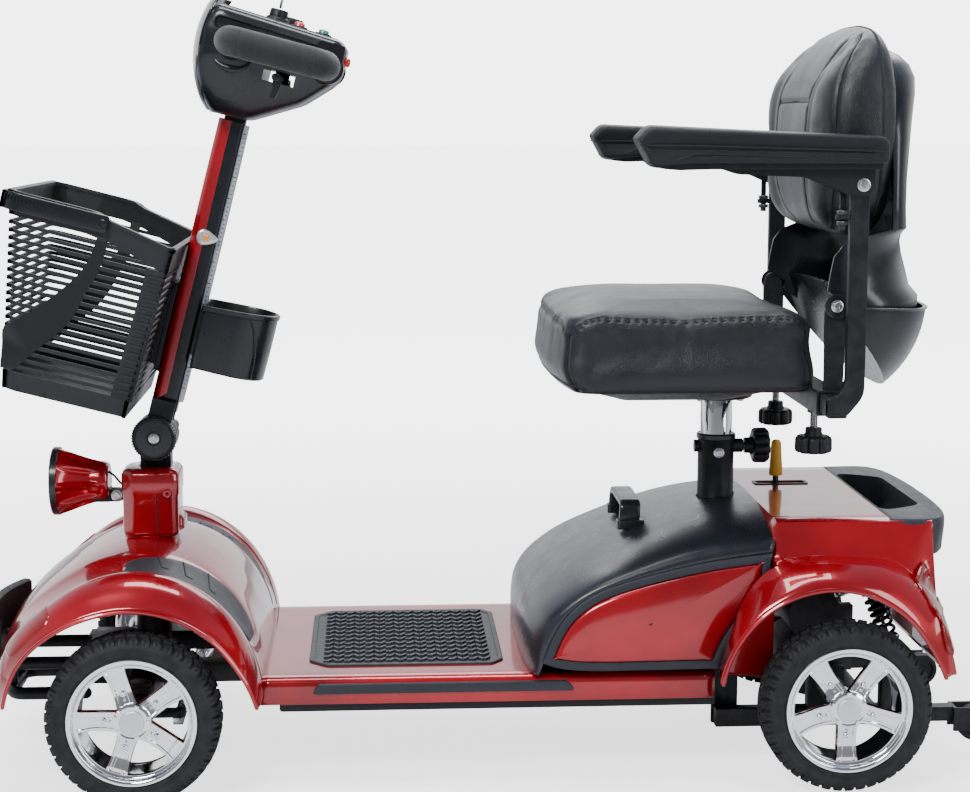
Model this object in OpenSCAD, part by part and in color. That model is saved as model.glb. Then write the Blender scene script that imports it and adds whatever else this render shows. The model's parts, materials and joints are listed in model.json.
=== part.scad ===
// Four-wheel electric mobility scooter. +X is forward, +Y is the rider's left, +Z is up.
// The origin is on the ground, below the middle of the whole scooter. Sizes are millimetres and degrees.

/* [Chassis] */
// Distance from the front axle to the rear axle
wheelbase = 838; // [790:1:1010]
// Distance between the middles of the left and right tyres
track = 440; // [430:1:540]
// Height of the top of the footwell deck
deck_h = 133; // [128:1:140]
// Width of the footwell deck
deck_w = 352; // [290:1:370]
// Size of the square frame tubes
rail_size = 25; // [20:1:28]

/* [Wheels] */
// Outer diameter of every tyre
tyre_d = 205; // [170:1:215]
// Width of every tyre
tyre_w = 56; // [46:1:62]
// Outer diameter of the rim flange
rim_d = 153; // [125:1:160]
// Number of spokes in a rim
spokes = 5; // [3:1:8]
// Diameter of the wheel spindles and of the rear stub shafts
spindle_d = 16; // [12:1:20]

/* [Steering] */
// Lean of the tiller from the vertical, at rest
tiller_lean = 14.5; // [5:0.5:25]
// Height of the tiller's fold pivot
pivot_h = 399; // [380:1:430]
// Length of the tiller from its pivot to the bottom of the head
stem_len = 405; // [340:1:490]
// Diameter of the steering shaft
shaft_d = 30; // [24:1:34]
// Length of the steering arms
steer_arm = 45; // [38:1:52]
// Diameter of the foam grips
grip_d = 35; // [28:1:40]

/* [Basket] */
// Width of the basket across its rim
basket_w = 320; // [260:1:390]
// Height of the basket's front wall
basket_h = 230; // [190:1:250]
// Thickness of the basket's walls
basket_wall = 4; // [3:0.5:6]

/* [Seat] */
// Width of the seat cushion
seat_w = 400; // [330:1:420]
// Depth of the seat cushion, front to back
seat_depth = 330; // [290:1:400]
// Height of the underside of the seat cushion
seat_h = 480; // [470:1:560]
// Thickness of the seat cushion
seat_thick = 100; // [80:1:120]
// Height of the back cushion
back_h = 265; // [220:1:320]
// Diameter of the sliding seat post
post_d = 40; // [32:1:44]
// Distance between the middles of the two armrests
arm_span = 450; // [440:1:560]
// Length of an armrest pad
arm_len = 288; // [240:1:340]

/* [Hidden] */

$fn = 48;
eps = 0.01;
// Radial running clearance of pins and shafts
run = 0.05;
// Free gap between bodies that move past each other
gap = 0.4;
// Gap between pieces that are fastened side by side
seat_gap = 0.1;
wall = 3;

tyre_r = tyre_d / 2;
// The tyre's wall is at least 22 high
rim_r = min(rim_d, tyre_d - 44) / 2;
axle_z = tyre_r;
wheel_y = track / 2;
tyre_in = wheel_y - tyre_w / 2;
front_x = wheelbase / 2 + 1;
rear_x = front_x - wheelbase;
// Length from the front axle to the bumper's face, and from the rear axle to the last point behind
front_reach = 210;
tail_reach = 212;

// Frame
rail_y = 75;
rail_top = deck_h - wall - 1;
rail_low = rail_top - rail_size;
head_tube_r = shaft_d / 2 + 7;
head_tube_top = deck_h + 129;
kingpin_r = 8;
kingpin_y = tyre_in - 32;
beam_top = axle_z + 20;
beam_low = beam_top - 30;
arm_plate = 8;
arm_top = beam_low - gap;
arm_low = arm_top - arm_plate;
tie_r = 4;
// Radial room round the tie rod's open pins
open_room = 0.6;
tie_top = arm_low - gap;
tie_low = tie_top - 8;
steer_x = front_x;

// Seat post and battery box
post_x = rear_x + 120;
post_r = post_d / 2;
socket_r = post_r + 3;
socket_top = seat_h - 86;
knob_z = socket_top - 15;
box_front = rear_x + 375;
box_rear = rear_x + 83;
box_y = deck_w / 2 + 14;
box_top = 318;
cover_low = deck_h + seat_gap;

// Rear end
pivot_x = rear_x + 123;
pivot_z = axle_z - 44;
swing_y = 118;
// Half the width of the gearbox
drive_end = 45;
arch_x = rear_x + 20;
arch_z = axle_z + 15;
arch_r = tyre_r + 30;
fender_y = wheel_y + tyre_w / 2 - 3;
tip_r = 22;
tip_x = rear_x - tail_reach + tip_r;
tip_z = 45;
lever_x = rear_x + 29;
lever_y = -60;
lever_pivot_z = 215;
spring_top = [rear_x - 52, 208];
spring_low = [rear_x - 88, 158];
spring_r = 13;

// Front end
dome_r = tyre_r + 58;
front_arch_r = tyre_r + 34;
// Angle about the front axle at which the shroud meets the deck
tail_angle = 180 - asin((deck_h + 3 * seat_gap - axle_z) / (dome_r - wall));
column_low = head_tube_top + 13;
column_top = pivot_h - 38;
mat_h = 4.5;
light_x = front_x + 121;
light_z = 342;
light_pivot = [front_x + 42, light_z - 18];

// Tiller, in its own frame: u forward, v up along the stem, from the fold pivot
fold_x = front_x - 8;
fold_r = 27;
stem_u = -5;
stem_w = 28;
stem_d = 26;
head_low = stem_len + 5;
head_top = head_low + 125;
head_w = 170;
head_wall = 3;
grip_r = grip_d / 2;
bar_r = 10;
bar_y = head_w / 2 + 75;
bar_v = head_low + 85;
bar_front = 14;
bar_rear = -100;
lever_u = -48;
basket_u = 30;
basket_v = 38;
basket_front = 216;

// Seat
seat_front = post_x + 235;
seat_rear = seat_front - seat_depth;
plate_z = seat_h - 37;
pan_low = plate_z + 10;
cross_x = seat_rear - 5;
cross_z = plate_z + 17;
cross_size = 30;
arm_bar = 23;
arm_knob_y = 112;
arm_y = arm_span / 2;
post_bar_x = cross_x - 20;
arm_hinge_z = seat_h + 238;
arm_hinge_x = post_bar_x - 2;
back_hinge_x = seat_rear - 12;
back_hinge_z = seat_h + 95;
back_low = seat_h + 168;
back_thick = 100;
back_front = back_hinge_x + 18;
back_w = seat_w - 18;
bowl_r = 142;
hinge_y = seat_w / 2 - 20;

rubber = "dimgray";
black = [0.09, 0.09, 0.10];
grey = [0.32, 0.34, 0.37];
red = [0.62, 0.02, 0.05];
steel = [0.75, 0.76, 0.78];

// Points of an arc in a plane, from angle a0 to angle a1
function arc(x, z, r, a0, a1, n = 12) =
    [for (i = [0:n]) [x + r * cos(a0 + (a1 - a0) * i / n), z + r * sin(a0 + (a1 - a0) * i / n)]];

// The strip between an outer and an inner line of points
module skin(outer, inner) {
    polygon(concat(outer, [for (i = [len(inner) - 1:-1:0]) inner[i]]));
}

// A plate drawn in the X-Z plane, from y0 to y1
module side_plate(y0, y1) {
    translate([0, y1, 0])
        rotate([90, 0, 0])
            linear_extrude(y1 - y0)
                children();
}

// A round bar along Y, from y0 to y1
module y_rod(x, z, r, y0, y1) {
    translate([x, y0, z])
        rotate([-90, 0, 0])
            cylinder(h = y1 - y0, r = r);
}

// A round bar along X, from x0 to x1
module x_rod(y, z, r, x0, x1) {
    translate([x0, y, z])
        rotate([0, 90, 0])
            cylinder(h = x1 - x0, r = r);
}

// A box between two corners
module block(low, high) {
    translate(low)
        cube(high - low);
}

// A round bar between two points
module bar(a, b, r) {
    d = b - a;
    translate(a)
        rotate([0, acos(d[2] / norm(d)), atan2(d[1], d[0])])
            cylinder(h = norm(d), r = r);
}

// The same shape on the left and on the right
module both_sides() {
    children();
    mirror([0, 1, 0])
        children();
}

// Places what is drawn in the tiller's frame
module on_tiller() {
    translate([fold_x, 0, pivot_h])
        rotate([0, -tiller_lean, 0])
            children();
}

// A shell between two radii about a wheel, swept from angle a0 to a1; the outline is (y, radius)
module fender_band(x, z, a0, a1) {
    translate([x, 0, z])
        rotate([90, -a0, 0])
            rotate_extrude(angle = a1 - a0, $fn = 96)
                children();
}

// ---- Chassis ----

module main_frame() {
    color(black)
    difference() {
        union() {
            // two long rails and their cross tubes
            both_sides()
                block([pivot_x - 16, rail_y - rail_size / 2, rail_low],
                    [front_x + 85, rail_y + rail_size / 2, rail_top]);
            for (x = [front_x + 72, front_x - 90, box_front + 30])
                block([x - rail_size / 2, -rail_y, rail_low], [x + rail_size / 2, rail_y, rail_top]);
            // front beam, its bosses and the head tube
            block([front_x - 16, -kingpin_y, beam_low], [front_x + 16, kingpin_y, beam_top]);
            both_sides()
                translate([front_x, kingpin_y, beam_low])
                    cylinder(h = beam_top - beam_low, r = 15);
            translate([steer_x, 0, beam_low])
                cylinder(h = head_tube_top - beam_low, r = head_tube_r);
            // rear cross beam, pivot plates, uprights and spring rail
            block([post_x - 26, -rail_y, rail_low], [post_x + 26, rail_y, rail_top]);
            both_sides() {
                block([pivot_x - 16, rail_y, rail_low], [pivot_x + 16, swing_y - 10, rail_top]);
                block([pivot_x - 16, swing_y - 18, pivot_z - 12], [pivot_x + 16, swing_y - 10, rail_top]);
                block([pivot_x - 16, rail_y - 10, rail_top - eps], [pivot_x + 2, rail_y + 10, 252]);
                block([rear_x - 70, rail_y - 10, 232], [pivot_x + 2, rail_y + 10, 252]);
                block([spring_top[0] - 14, rail_y - 10, 232], [spring_top[0] + 14, swing_y + 14, 240]);
            }
            block([rear_x - 70, -rail_y, 232], [rear_x - 50, rail_y, 252]);
            // seat tube socket with its clamp bosses
            translate([post_x, 0, rail_low])
                cylinder(h = socket_top - rail_low, r = socket_r);
            x_rod(0, knob_z, 9, post_x - socket_r - 11, post_x);
            x_rod(0, knob_z, 8, post_x, post_x + socket_r + 5);
        }
        translate([steer_x, 0, beam_low - 1])
            cylinder(h = head_tube_top - beam_low + 2, r = shaft_d / 2 + run);
        both_sides()
            translate([front_x, kingpin_y, beam_low - 1])
                cylinder(h = beam_top - beam_low + 2, r = kingpin_r + run);
        translate([post_x, 0, rail_low + 4])
            cylinder(h = socket_top, r = post_r + run);
        x_rod(0, knob_z, 5 + run, post_x - socket_r - 12, post_x);
        both_sides()
            y_rod(pivot_x, pivot_z, 6 + run, swing_y - 19, swing_y - 9);
    }
}

// Outline of the front dome above and ahead of the wheels, offset inwards by t
function dome(t) = concat(
    [[front_x + dome_r + 7.5 - t, rail_top + 5], [front_x + dome_r + 4.5 - t, axle_z + 82.5]],
    arc(front_x, axle_z, dome_r + 14 - t, 34, 58, 4),
    arc(front_x, axle_z, dome_r + 12 - t, 80, 100, 4),
    arc(front_x, axle_z, dome_r - t, 120, tail_angle, 8));

module front_shroud() {
    half = tyre_in - 28;
    color(red)
    difference() {
        union() {
            side_plate(-half, half)
                skin(dome(0), dome(wall));
            both_sides()
                fender_band(front_x, axle_z, 12, tail_angle)
                    polygon([[dome_r, -half + 1], [dome_r - 4, 28 - wheel_y - tyre_w / 2],
                        [dome_r - 14, 3 - wheel_y - tyre_w / 2], [front_arch_r + 1, -fender_y],
                        [front_arch_r + 1, 4 - fender_y], [dome_r - 16, 6 - wheel_y - tyre_w / 2],
                        [dome_r - 7, 30 - wheel_y - tyre_w / 2], [dome_r - wall, -half + 1]]);
        }
        translate([steer_x, 0, 0])
            cylinder(h = 400, r = head_tube_r + gap);
    }
}

// Grey trims: an inlay on each front fender and a strip along each sill
module grey_trims() {
    color(grey)
    both_sides() {
        fender_band(front_x, axle_z, 92, 150)
            polygon([[dome_r + 0.2, -tyre_in + 26], [dome_r - 0.8, -tyre_in + 8],
                [dome_r + 1.2, -tyre_in + 8], [dome_r + 2.2, -tyre_in + 26]]);
        block([box_front - 60, deck_w / 2 + seat_gap, deck_h - 20],
            [front_x - 205, deck_w / 2 + 5, deck_h - 7]);
    }
}

module corner_lenses() {
    color([0.45, 0.12, 0.08])
    both_sides() {
        // front lamp on the fender's nose
        fender_band(front_x, axle_z, 29, 48)
            polygon([[dome_r + 0.3, -wheel_y + 20], [dome_r + 0.3, -wheel_y + 1],
                [dome_r + 4, -wheel_y + 1], [dome_r + 4, -wheel_y + 20]]);
        // tail lamp
        block([rear_x - 124, wheel_y - 30, 170], [rear_x - 118.2, wheel_y + 8, 250]);
    }
}

// Two bent tubes and the rubber pad that they carry
module front_bumper() {
    tube_r = 8;
    reach = front_x + front_reach - 36;
    color(black) {
        for (z = [rail_low - 22, rail_top - 8]) {
            both_sides()
                x_rod(rail_y - 24, z, tube_r, front_x + 85 + seat_gap, reach);
            y_rod(reach, z, tube_r - 1, -rail_y + 24, rail_y - 24);
            both_sides()
                translate([reach, rail_y - 24, z])
                    sphere(r = tube_r + 1);
        }
        both_sides()
            block([reach - 5, 20, rail_low - 22], [reach + 5, 32, rail_top + 30]);
        both_sides()
            block([front_x + 85 + seat_gap, rail_y - 36, rail_low - 30],
                [front_x + 91, rail_y + 10, rail_top]);
    }
    color(rubber)
        intersection() {
            block([reach + 5, -112, rail_top - 12], [front_x + front_reach, 112, rail_top + 64]);
            y_rod(front_x + front_reach - 60, rail_top + 26, 60, -112, 112);
        }
}

module floor_deck() {
    x0 = arch_x + arch_r + 2;
    x1 = front_x - dome_r + 20;
    color(red)
    difference() {
        block([x0, -deck_w / 2, deck_h - 35], [x1, deck_w / 2, deck_h]);
        block([x0 - 1, -deck_w / 2 + wall, deck_h - 36], [x1 + 1, deck_w / 2 - wall, deck_h - wall]);
        translate([post_x, 0, 0])
            cylinder(h = 400, r = socket_r + gap);
    }
}

module floor_mat() {
    x0 = box_front + 25;
    x1 = front_x - 200;
    y1 = deck_w / 2 - 46;
    pocket = 9;
    color(rubber)
    translate([0, 0, deck_h + seat_gap])
        difference() {
            linear_extrude(mat_h)
                polygon([[x0, -y1 + 18], [x0 + 16, -y1], [x1 - 24, -y1], [x1, -y1 + 24],
                    [x1, y1 - 24], [x1 - 24, y1], [x0 + 16, y1], [x0, y1 - 18]]);
            for (i = [0:7])
                for (j = [0:7])
                    translate([x0 + 26 + (x1 - x0 - 52) * i / 7 - pocket / 2,
                        -y1 + 18 + (2 * y1 - 36) * j / 7 - pocket / 2, mat_h - 2])
                        cube([pocket, pocket, 3]);
        }
}

// Two sealed batteries and the motor controller
module power_pack() {
    battery = [151, 98, 95];
    base = deck_h + 4;
    x0 = post_x + socket_r + 8;
    color([0.2, 0.22, 0.3])
        both_sides()
            block([x0, 4, base], [x0 + battery[0], 4 + battery[1], base + battery[2]]);
    color(steel)
        block([box_rear + 8, -150, base], [post_x + 40, -108, base + 80]);
}

// Outline of the battery box seen from the side, offset inwards by t
function crown(t) = concat(
    [[box_rear, cover_low], [box_rear, box_top - t]],
    [[post_x - 20, box_top - t], [post_x + 50, box_top - 11 - t], [post_x + 115, box_top - 32 - t],
        [post_x + 170, box_top - 62 - t], [post_x + 216 - t, box_top - 102 - t],
        [post_x + 240 - t, box_top - 142], [post_x + 252 - t, cover_low]]);

// Cover with the charging socket in its front
module battery_cover() {
    side = box_y - wall - 3;
    socket_z = cover_low + 38;
    color(grey)
    difference() {
        side_plate(-box_y, box_y)
            polygon(crown(0));
        side_plate(-side, side)
            polygon(crown(4));
        block([box_rear - 1, -side, cover_low - 1], [post_x + 247, side, cover_low + 2]);
        block([box_rear - 1, -side, cover_low - 1], [box_rear + 4, side, box_top - 30]);
        // side windows that take the red panels
        side_plate(-box_y - 1, box_y + 1)
            panel_outline(0);
        translate([post_x, 0, 150])
            cylinder(h = 400, r = socket_r + gap);
        x_rod(0, socket_z, 11 + seat_gap, post_x + 200, post_x + 270);
    }
    color(black)
    difference() {
        x_rod(0, socket_z, 11, post_x + 232, post_x + 254);
        x_rod(0, socket_z, 8, post_x + 238, post_x + 255);
    }
}

// Outline of a red side panel, inset by c
module panel_outline(c) {
    polygon([[box_rear + 14 + c, cover_low + 14 + c], [box_rear + 14 + c, box_top - 50 - c],
        [post_x + 60, box_top - 68 - c], [post_x + 135, box_top - 90 - c],
        [post_x + 185, box_top - 124 - c], [post_x + 212 - c, cover_low + 18 + c],
        [post_x + 190, cover_low + 14 + c]]);
}

module battery_side_panels() {
    color(red)
    both_sides()
        side_plate(box_y - wall - 3, box_y)
            panel_outline(0.4);
}

module battery_handle() {
    x0 = post_x + 116;
    low = box_top - 27;
    high = box_top + 2;
    y1 = 58;
    color(black) {
        both_sides()
            block([x0 - 13, y1 - 13, low], [x0 + 13, y1, high]);
        block([x0 - 13, -y1, high - 9], [x0 + 13, y1, high]);
    }
}

// ---- Rear body ----

// Outline of the rear body seen from the side, offset inwards by t
function tail(t) = concat(
    [[box_rear - 1, box_top - t], [rear_x - 100, box_top - t], [rear_x - 112 + t, box_top - 8 - t],
        [rear_x - 112 + t, 268], [rear_x - 118 + t, 235], [rear_x - 124 + t, 200], [rear_x - 126 + t, 150]]);

module rear_shroud() {
    half = tyre_in - 12;
    color(red)
    difference() {
        union() {
            side_plate(-half, half)
                skin(tail(0), tail(wall));
            both_sides()
                side_plate(half - wall, half)
                    difference() {
                        polygon(concat(tail(0), [[rear_x - 112, 150], [box_rear - 1, cover_low]]));
                        translate([arch_x, arch_z])
                            circle(r = arch_r + 2);
                    }
            both_sides()
                fender_band(arch_x, arch_z, 8, 165)
                    polygon([[arch_r, -half + 1], [arch_r, -fender_y], [arch_r + 3, -fender_y],
                        [arch_r + 8, 4 - fender_y], [arch_r + 14, -half + 1]]);
        }
        // room for the battery box
        block([box_rear - seat_gap, -box_y - seat_gap, 0], [front_x, box_y + seat_gap, box_top + 1]);
        // slot of the freewheel lever, open towards the battery box
        block([lever_x - 40, lever_y - 10, box_top - 10], [front_x, lever_y + 10, box_top + 10]);
        // room for the grab handle
        block([rear_x - 200, -half - 1, box_top - 54], [rear_x - 52, half + 1, box_top + 1]);
    }
}

// The grab handle that is also the rear bumper, with a hand hole through it
module rear_handle() {
    half = tyre_in - 12;
    color(grey)
    difference() {
        translate([0, 0, box_top - 53.6])
            linear_extrude(53.6)
                polygon([[rear_x - 52.4, -half], [rear_x - 120, -half + 12], [rear_x - 140, -half + 45],
                    [rear_x - 146, 0], [rear_x - 140, half - 45], [rear_x - 120, half - 12], [rear_x - 52.4, half]]);
        block([rear_x - 118, -100, 0], [rear_x - 72, 100, 400]);
        block([rear_x - 130, -half + 30, box_top - 60], [rear_x - 48, half - 30, box_top - 16]);
    }
}

module swing_frame() {
    inner = swing_y - 10 + gap;
    outer = swing_y + 10;
    color(black)
    difference() {
        union() {
            // cross tube behind the gearbox
            block([rear_x - 68, -inner - 1, pivot_z - 9], [rear_x - 50, inner + 1, pivot_z + 9]);
            both_sides() {
                block([rear_x - 70, inner, pivot_z - 11], [pivot_x + 14, outer, pivot_z + 11]);
                y_rod(pivot_x, pivot_z, 6, swing_y - 18, swing_y + 1);
                // upright that carries the axle tube, and the spring seat behind it
                block([rear_x - 22, inner, pivot_z], [rear_x + 22, outer, axle_z + 20]);
                y_rod(rear_x, axle_z, 15, drive_end + seat_gap, tyre_in - 14);
                block([spring_low[0] - 4, inner, pivot_z - 11], [spring_low[0] + 18, outer, spring_low[1] - 20]);
                // anti-tip bar with its wheel fork
                block([tip_x + tip_r + 6, swing_y - 9, pivot_z - 9], [rear_x - 70 + eps, swing_y + 9, pivot_z + 9]);
                for (s = [-1, 1])
                    block([tip_x - 7, swing_y + s * 13 - 2, tip_z - 7],
                        [tip_x + tip_r + 7, swing_y + s * 13 + 2, pivot_z + 9]);
                block([tip_x + tip_r + 3, swing_y - 15, pivot_z - 9], [tip_x + tip_r + 7, swing_y + 15, pivot_z + 9]);
                y_rod(tip_x, tip_z, 4, swing_y - 12, swing_y + 12);
            }
        }
        y_rod(rear_x, axle_z, spindle_d / 2 + run, -tyre_in, tyre_in);
    }
}

// Gearbox round the axle with the motor beside it
module drive_unit() {
    motor_z = axle_z + 62;
    color([0.25, 0.25, 0.27]) {
        difference() {
            y_rod(rear_x, axle_z, 42, -drive_end, drive_end);
            y_rod(rear_x, axle_z, spindle_d / 2 + run, -50, 50);
        }
        y_rod(rear_x - 4, motor_z, 34, -100, drive_end);
        block([rear_x - 30, -drive_end, axle_z + 20], [rear_x + 20, 30, motor_z]);
        // lug and pin of the freewheel lever
        for (y = [lever_y - 11, lever_y + 5 + gap])
            block([lever_x - 8, y, motor_z], [lever_x + 8, y + 5, lever_pivot_z + 8]);
        y_rod(lever_x, lever_pivot_z, 3, lever_y - 11, lever_y + 10);
    }
}

module coil_springs() {
    top = [spring_top[0], swing_y, spring_top[1]];
    low = [spring_low[0] + 7, swing_y, spring_low[1] - 12];
    color(steel)
    both_sides()
        bar(low + [0, 0, 6], top + [0, 0, 14], spring_r);
}

module anti_tip_wheels() {
    color(black)
    both_sides()
        difference() {
            y_rod(tip_x, tip_z, tip_r, swing_y - 10, swing_y + 10);
            y_rod(tip_x, tip_z, 4 + run, swing_y - 11, swing_y + 11);
        }
}

module freewheel_lever() {
    color(black)
    difference() {
        union() {
            bar([lever_x, lever_y, lever_pivot_z], [lever_x, lever_y, box_top + 14], 4);
            y_rod(lever_x, lever_pivot_z, 9, lever_y - 5, lever_y + 5);
        }
        y_rod(lever_x, lever_pivot_z, 3 + run, lever_y - 6, lever_y + 6);
    }
    color("orange")
        translate([lever_x, lever_y, box_top + 10])
            cylinder(h = 48, r1 = 9, r2 = 7);
}

// ---- Wheels: drawn about the Y axis, outer face towards +Y ----

module tyre_shape() {
    inner = rim_r - 6;
    half = tyre_w / 2;
    color(rubber)
    rotate([90, 0, 0])
        rotate_extrude($fn = 96)
            polygon([[inner + 0.2, -half + 5], [rim_r + 0.4, -half + 5], [rim_r + 0.4, -half + 3],
                [rim_r + 6, -half], [tyre_r - 12, -half], [tyre_r - 3, -half + 6], [tyre_r, -half + 14],
                [tyre_r, half - 14], [tyre_r - 3, half - 6], [tyre_r - 12, half], [rim_r + 6, half],
                [rim_r + 0.4, half - 3], [rim_r + 0.4, half - 5], [inner + 0.2, half - 5]]);
}

// stub is the length of the shaft on the rim's inner side; without one the hub has a bore
module rim_shape(phase, stub) {
    half = tyre_w / 2;
    barrel = rim_r - 6;
    color(steel)
    difference() {
        union() {
            rotate([90, 0, 0])
                rotate_extrude($fn = 96)
                    polygon([[barrel - 5, -half + 1], [rim_r, -half + 1], [rim_r, -half + 5 - seat_gap],
                        [barrel, -half + 5], [barrel, half - 5], [rim_r, half - 5 + seat_gap],
                        [rim_r, half - 1], [barrel - 5, half - 1]]);
            for (i = [0:spokes - 1])
                rotate([0, phase + i * 360 / spokes, 0])
                    block([10, half - 20, -11], [barrel - 3, half - 6, 11]);
            translate([0, half, 0])
                rotate([90, 0, 0])
                    cylinder(h = tyre_w - 6, r = 21);
            translate([0, half + 3, 0])
                rotate([90, 0, 0])
                    cylinder(h = 4, r = 14);
            if (stub > 0)
                y_rod(0, 0, spindle_d / 2, -half - stub, 0);
        }
        if (stub == 0)
            y_rod(0, 0, spindle_d / 2 + run, -half - 10, half - 6);
    }
}

module on_wheel(x, side) {
    translate([x, side * wheel_y, axle_z])
        mirror([0, side < 0 ? 1 : 0, 0])
            children();
}

stub_len = tyre_in - 50;
front_phase = 0;
rear_phase = 18;

module front_left_tyre() { on_wheel(front_x, 1) tyre_shape(); }
module front_right_tyre() { on_wheel(front_x, -1) tyre_shape(); }
module rear_left_tyre() { on_wheel(rear_x, 1) tyre_shape(); }
module rear_right_tyre() { on_wheel(rear_x, -1) tyre_shape(); }
module front_left_rim() { on_wheel(front_x, 1) rim_shape(front_phase, 0); }
module front_right_rim() { on_wheel(front_x, -1) rim_shape(front_phase, 0); }
module rear_left_rim() { on_wheel(rear_x, 1) rim_shape(rear_phase, stub_len); }
module rear_right_rim() { on_wheel(rear_x, -1) rim_shape(rear_phase, stub_len); }

// ---- Steering ----

module steering_shaft() {
    color(black) {
        difference() {
            union() {
                translate([steer_x, 0, arm_low])
                    cylinder(h = column_top - arm_low, r = shaft_d / 2);
                translate([steer_x, 0, head_tube_top + gap])
                    cylinder(h = column_low - head_tube_top - gap, r = head_tube_r);
                // pitman arm below the beam
                block([steer_x - steer_arm, -9, arm_low], [steer_x, 9, arm_top]);
                translate([steer_x - steer_arm, 0, arm_low])
                    cylinder(h = arm_plate, r = 9);
                // neck and middle disc of the fold joint
                block([fold_x - 19, -13, column_top - eps], [fold_x + 19, 13, pivot_h]);
                y_rod(fold_x, pivot_h, fold_r, -13, 13);
                y_rod(fold_x, pivot_h, 7, -42, 26);
                // lamp bracket on the front of the column
                block([steer_x, -4, light_pivot[1] - 7], [light_pivot[0], 4, light_pivot[1] + 7]);
                y_rod(light_pivot[0], light_pivot[1], 7, -4, 4);
            }
            translate([steer_x - steer_arm, 0, arm_low - 1])
                cylinder(h = arm_plate + 2, r = tie_r + open_room);
            y_rod(light_pivot[0], light_pivot[1], 3 + run, -5, 5);
        }
    }
}

module column_cover() {
    r = shaft_d / 2 + seat_gap;
    color(red)
    difference() {
        translate([0, 0, column_low + seat_gap])
            linear_extrude(column_top - column_low - 2 * seat_gap)
                polygon([[steer_x + 33, -24], [steer_x + 20, -34], [steer_x - 30, -34], [steer_x - 37, -24],
                    [steer_x - 37, 24], [steer_x - 30, 34], [steer_x + 20, 34], [steer_x + 33, 24]]);
        translate([steer_x, 0, 0])
            cylinder(h = 500, r = r);
        block([steer_x, -4 - seat_gap, light_pivot[1] - 7 - seat_gap],
            [steer_x + 50, 4 + seat_gap, light_pivot[1] + 7 + seat_gap]);
    }
}

// Housing with its lens and the two ears that clasp the bracket
module headlight() {
    body_r = 28;
    lens_r = 43;
    color(red) {
        x_rod(0, light_z, body_r, light_x - 70, light_x - 30);
        translate([light_x - 30 - eps, 0, light_z])
            rotate([0, 90, 0])
                cylinder(h = 20, r1 = body_r, r2 = lens_r);
        x_rod(0, light_z, lens_r, light_x - 10 - 2 * eps, light_x);
        both_sides() {
            block([light_pivot[0], 4 + gap, light_pivot[1] - 6], [light_x - 50, 8, light_pivot[1] + 6]);
            y_rod(light_pivot[0], light_pivot[1], 6.5, 4 + gap, 8);
        }
        y_rod(light_pivot[0], light_pivot[1], 3, -11, 11);
    }
}

// Left knuckle with its kingpin, spindle and steering arm; pin_room is the room round the tie rod pin
module knuckle(pin_room) {
    hub_in = tyre_in - kingpin_y;
    color(black)
    translate([front_x, kingpin_y, 0])
        difference() {
            union() {
                translate([0, 0, arm_low])
                    cylinder(h = beam_top - arm_low + gap + 4, r = kingpin_r);
                translate([0, 0, beam_top + gap])
                    cylinder(h = 4, r = 14);
                translate([0, 0, arm_low])
                    cylinder(h = arm_plate, r = 14);
                block([-14, 0, arm_low], [14, hub_in - 5, arm_top]);
                block([-14, 16, arm_low], [14, hub_in - 5, axle_z + 14]);
                y_rod(0, axle_z, spindle_d / 2, hub_in - 8, hub_in + tyre_w - 7);
                block([-steer_arm, -8, arm_low], [0, 8, arm_top]);
                translate([-steer_arm, 0, arm_low])
                    cylinder(h = arm_plate, r = 9);
            }
            translate([-steer_arm, 0, arm_low - 1])
                cylinder(h = arm_plate + 2, r = tie_r + pin_room);
        }
}

module left_knuckle() { knuckle(run); }
module right_knuckle() { mirror([0, 1, 0]) knuckle(open_room); }

module tie_rod() {
    x = steer_x - steer_arm;
    color(steel) {
        block([x - 6, -kingpin_y - 8, tie_low], [x + 6, kingpin_y + 8, tie_top]);
        for (y = [-kingpin_y, 0, kingpin_y])
            translate([x, y, tie_low])
                cylinder(h = arm_top - tie_low - 1, r = tie_r);
    }
}

// ---- Tiller ----

module stem_tube() {
    color(black)
    on_tiller()
        difference() {
            union() {
                block([stem_u - stem_d / 2, -stem_w / 2, fold_r + 8],
                    [stem_u + stem_d / 2, stem_w / 2, head_low + 20]);
                // outer discs of the fold joint
                both_sides() {
                    y_rod(0, 0, fold_r, 13 + gap, 22);
                    block([-16, 13 + gap, 0], [14, 22, fold_r + 22]);
                    block([-16, 0, fold_r + 8], [14, 22, fold_r + 22]);
                }
            }
            y_rod(0, 0, 7 + run, -30, 30);
            y_rod(0, 0, fold_r + 5, -13 - gap, 13 + gap);
        }
}

// Red front cover, grey sides with their reflectors, and the scale strip behind
module stem_cover() {
    front = stem_u + stem_d / 2;
    rear = stem_u - stem_d / 2;
    low = fold_r + 24;
    color(red)
    on_tiller() {
        difference() {
            block([rear - 4, -stem_w / 2 - 4, low], [front + 6, stem_w / 2 + 4, stem_len]);
            block([rear - seat_gap, -stem_w / 2 - seat_gap, low - 1],
                [front + seat_gap, stem_w / 2 + seat_gap, stem_len + 1]);
        }
        both_sides()
            y_rod(stem_u, stem_len - 147, 10, stem_w / 2 + 4, stem_w / 2 + 7);
    }
}

module fold_knob() {
    color(black)
    translate([fold_x, 0, pivot_h])
        difference() {
            union() {
                y_rod(0, 0, 24, -56, -34);
                y_rod(0, 0, 12, -34, -22 - gap);
            }
            y_rod(0, 0, 7 + run, -43, 0);
        }
}

module basket_bracket() {
    front = stem_u + stem_d / 2 + 6;
    color(black)
    on_tiller() {
        block([front + seat_gap, -30, 84], [front + 6, 30, 196]);
        // two hooks that hold the basket's back wall
        for (y = [-20, 20])
            block([front + 6 - eps, y - 6, 178], [basket_u - seat_gap, y + 6, 190]);
    }
}

basket_top = basket_v + basket_h;

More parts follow.
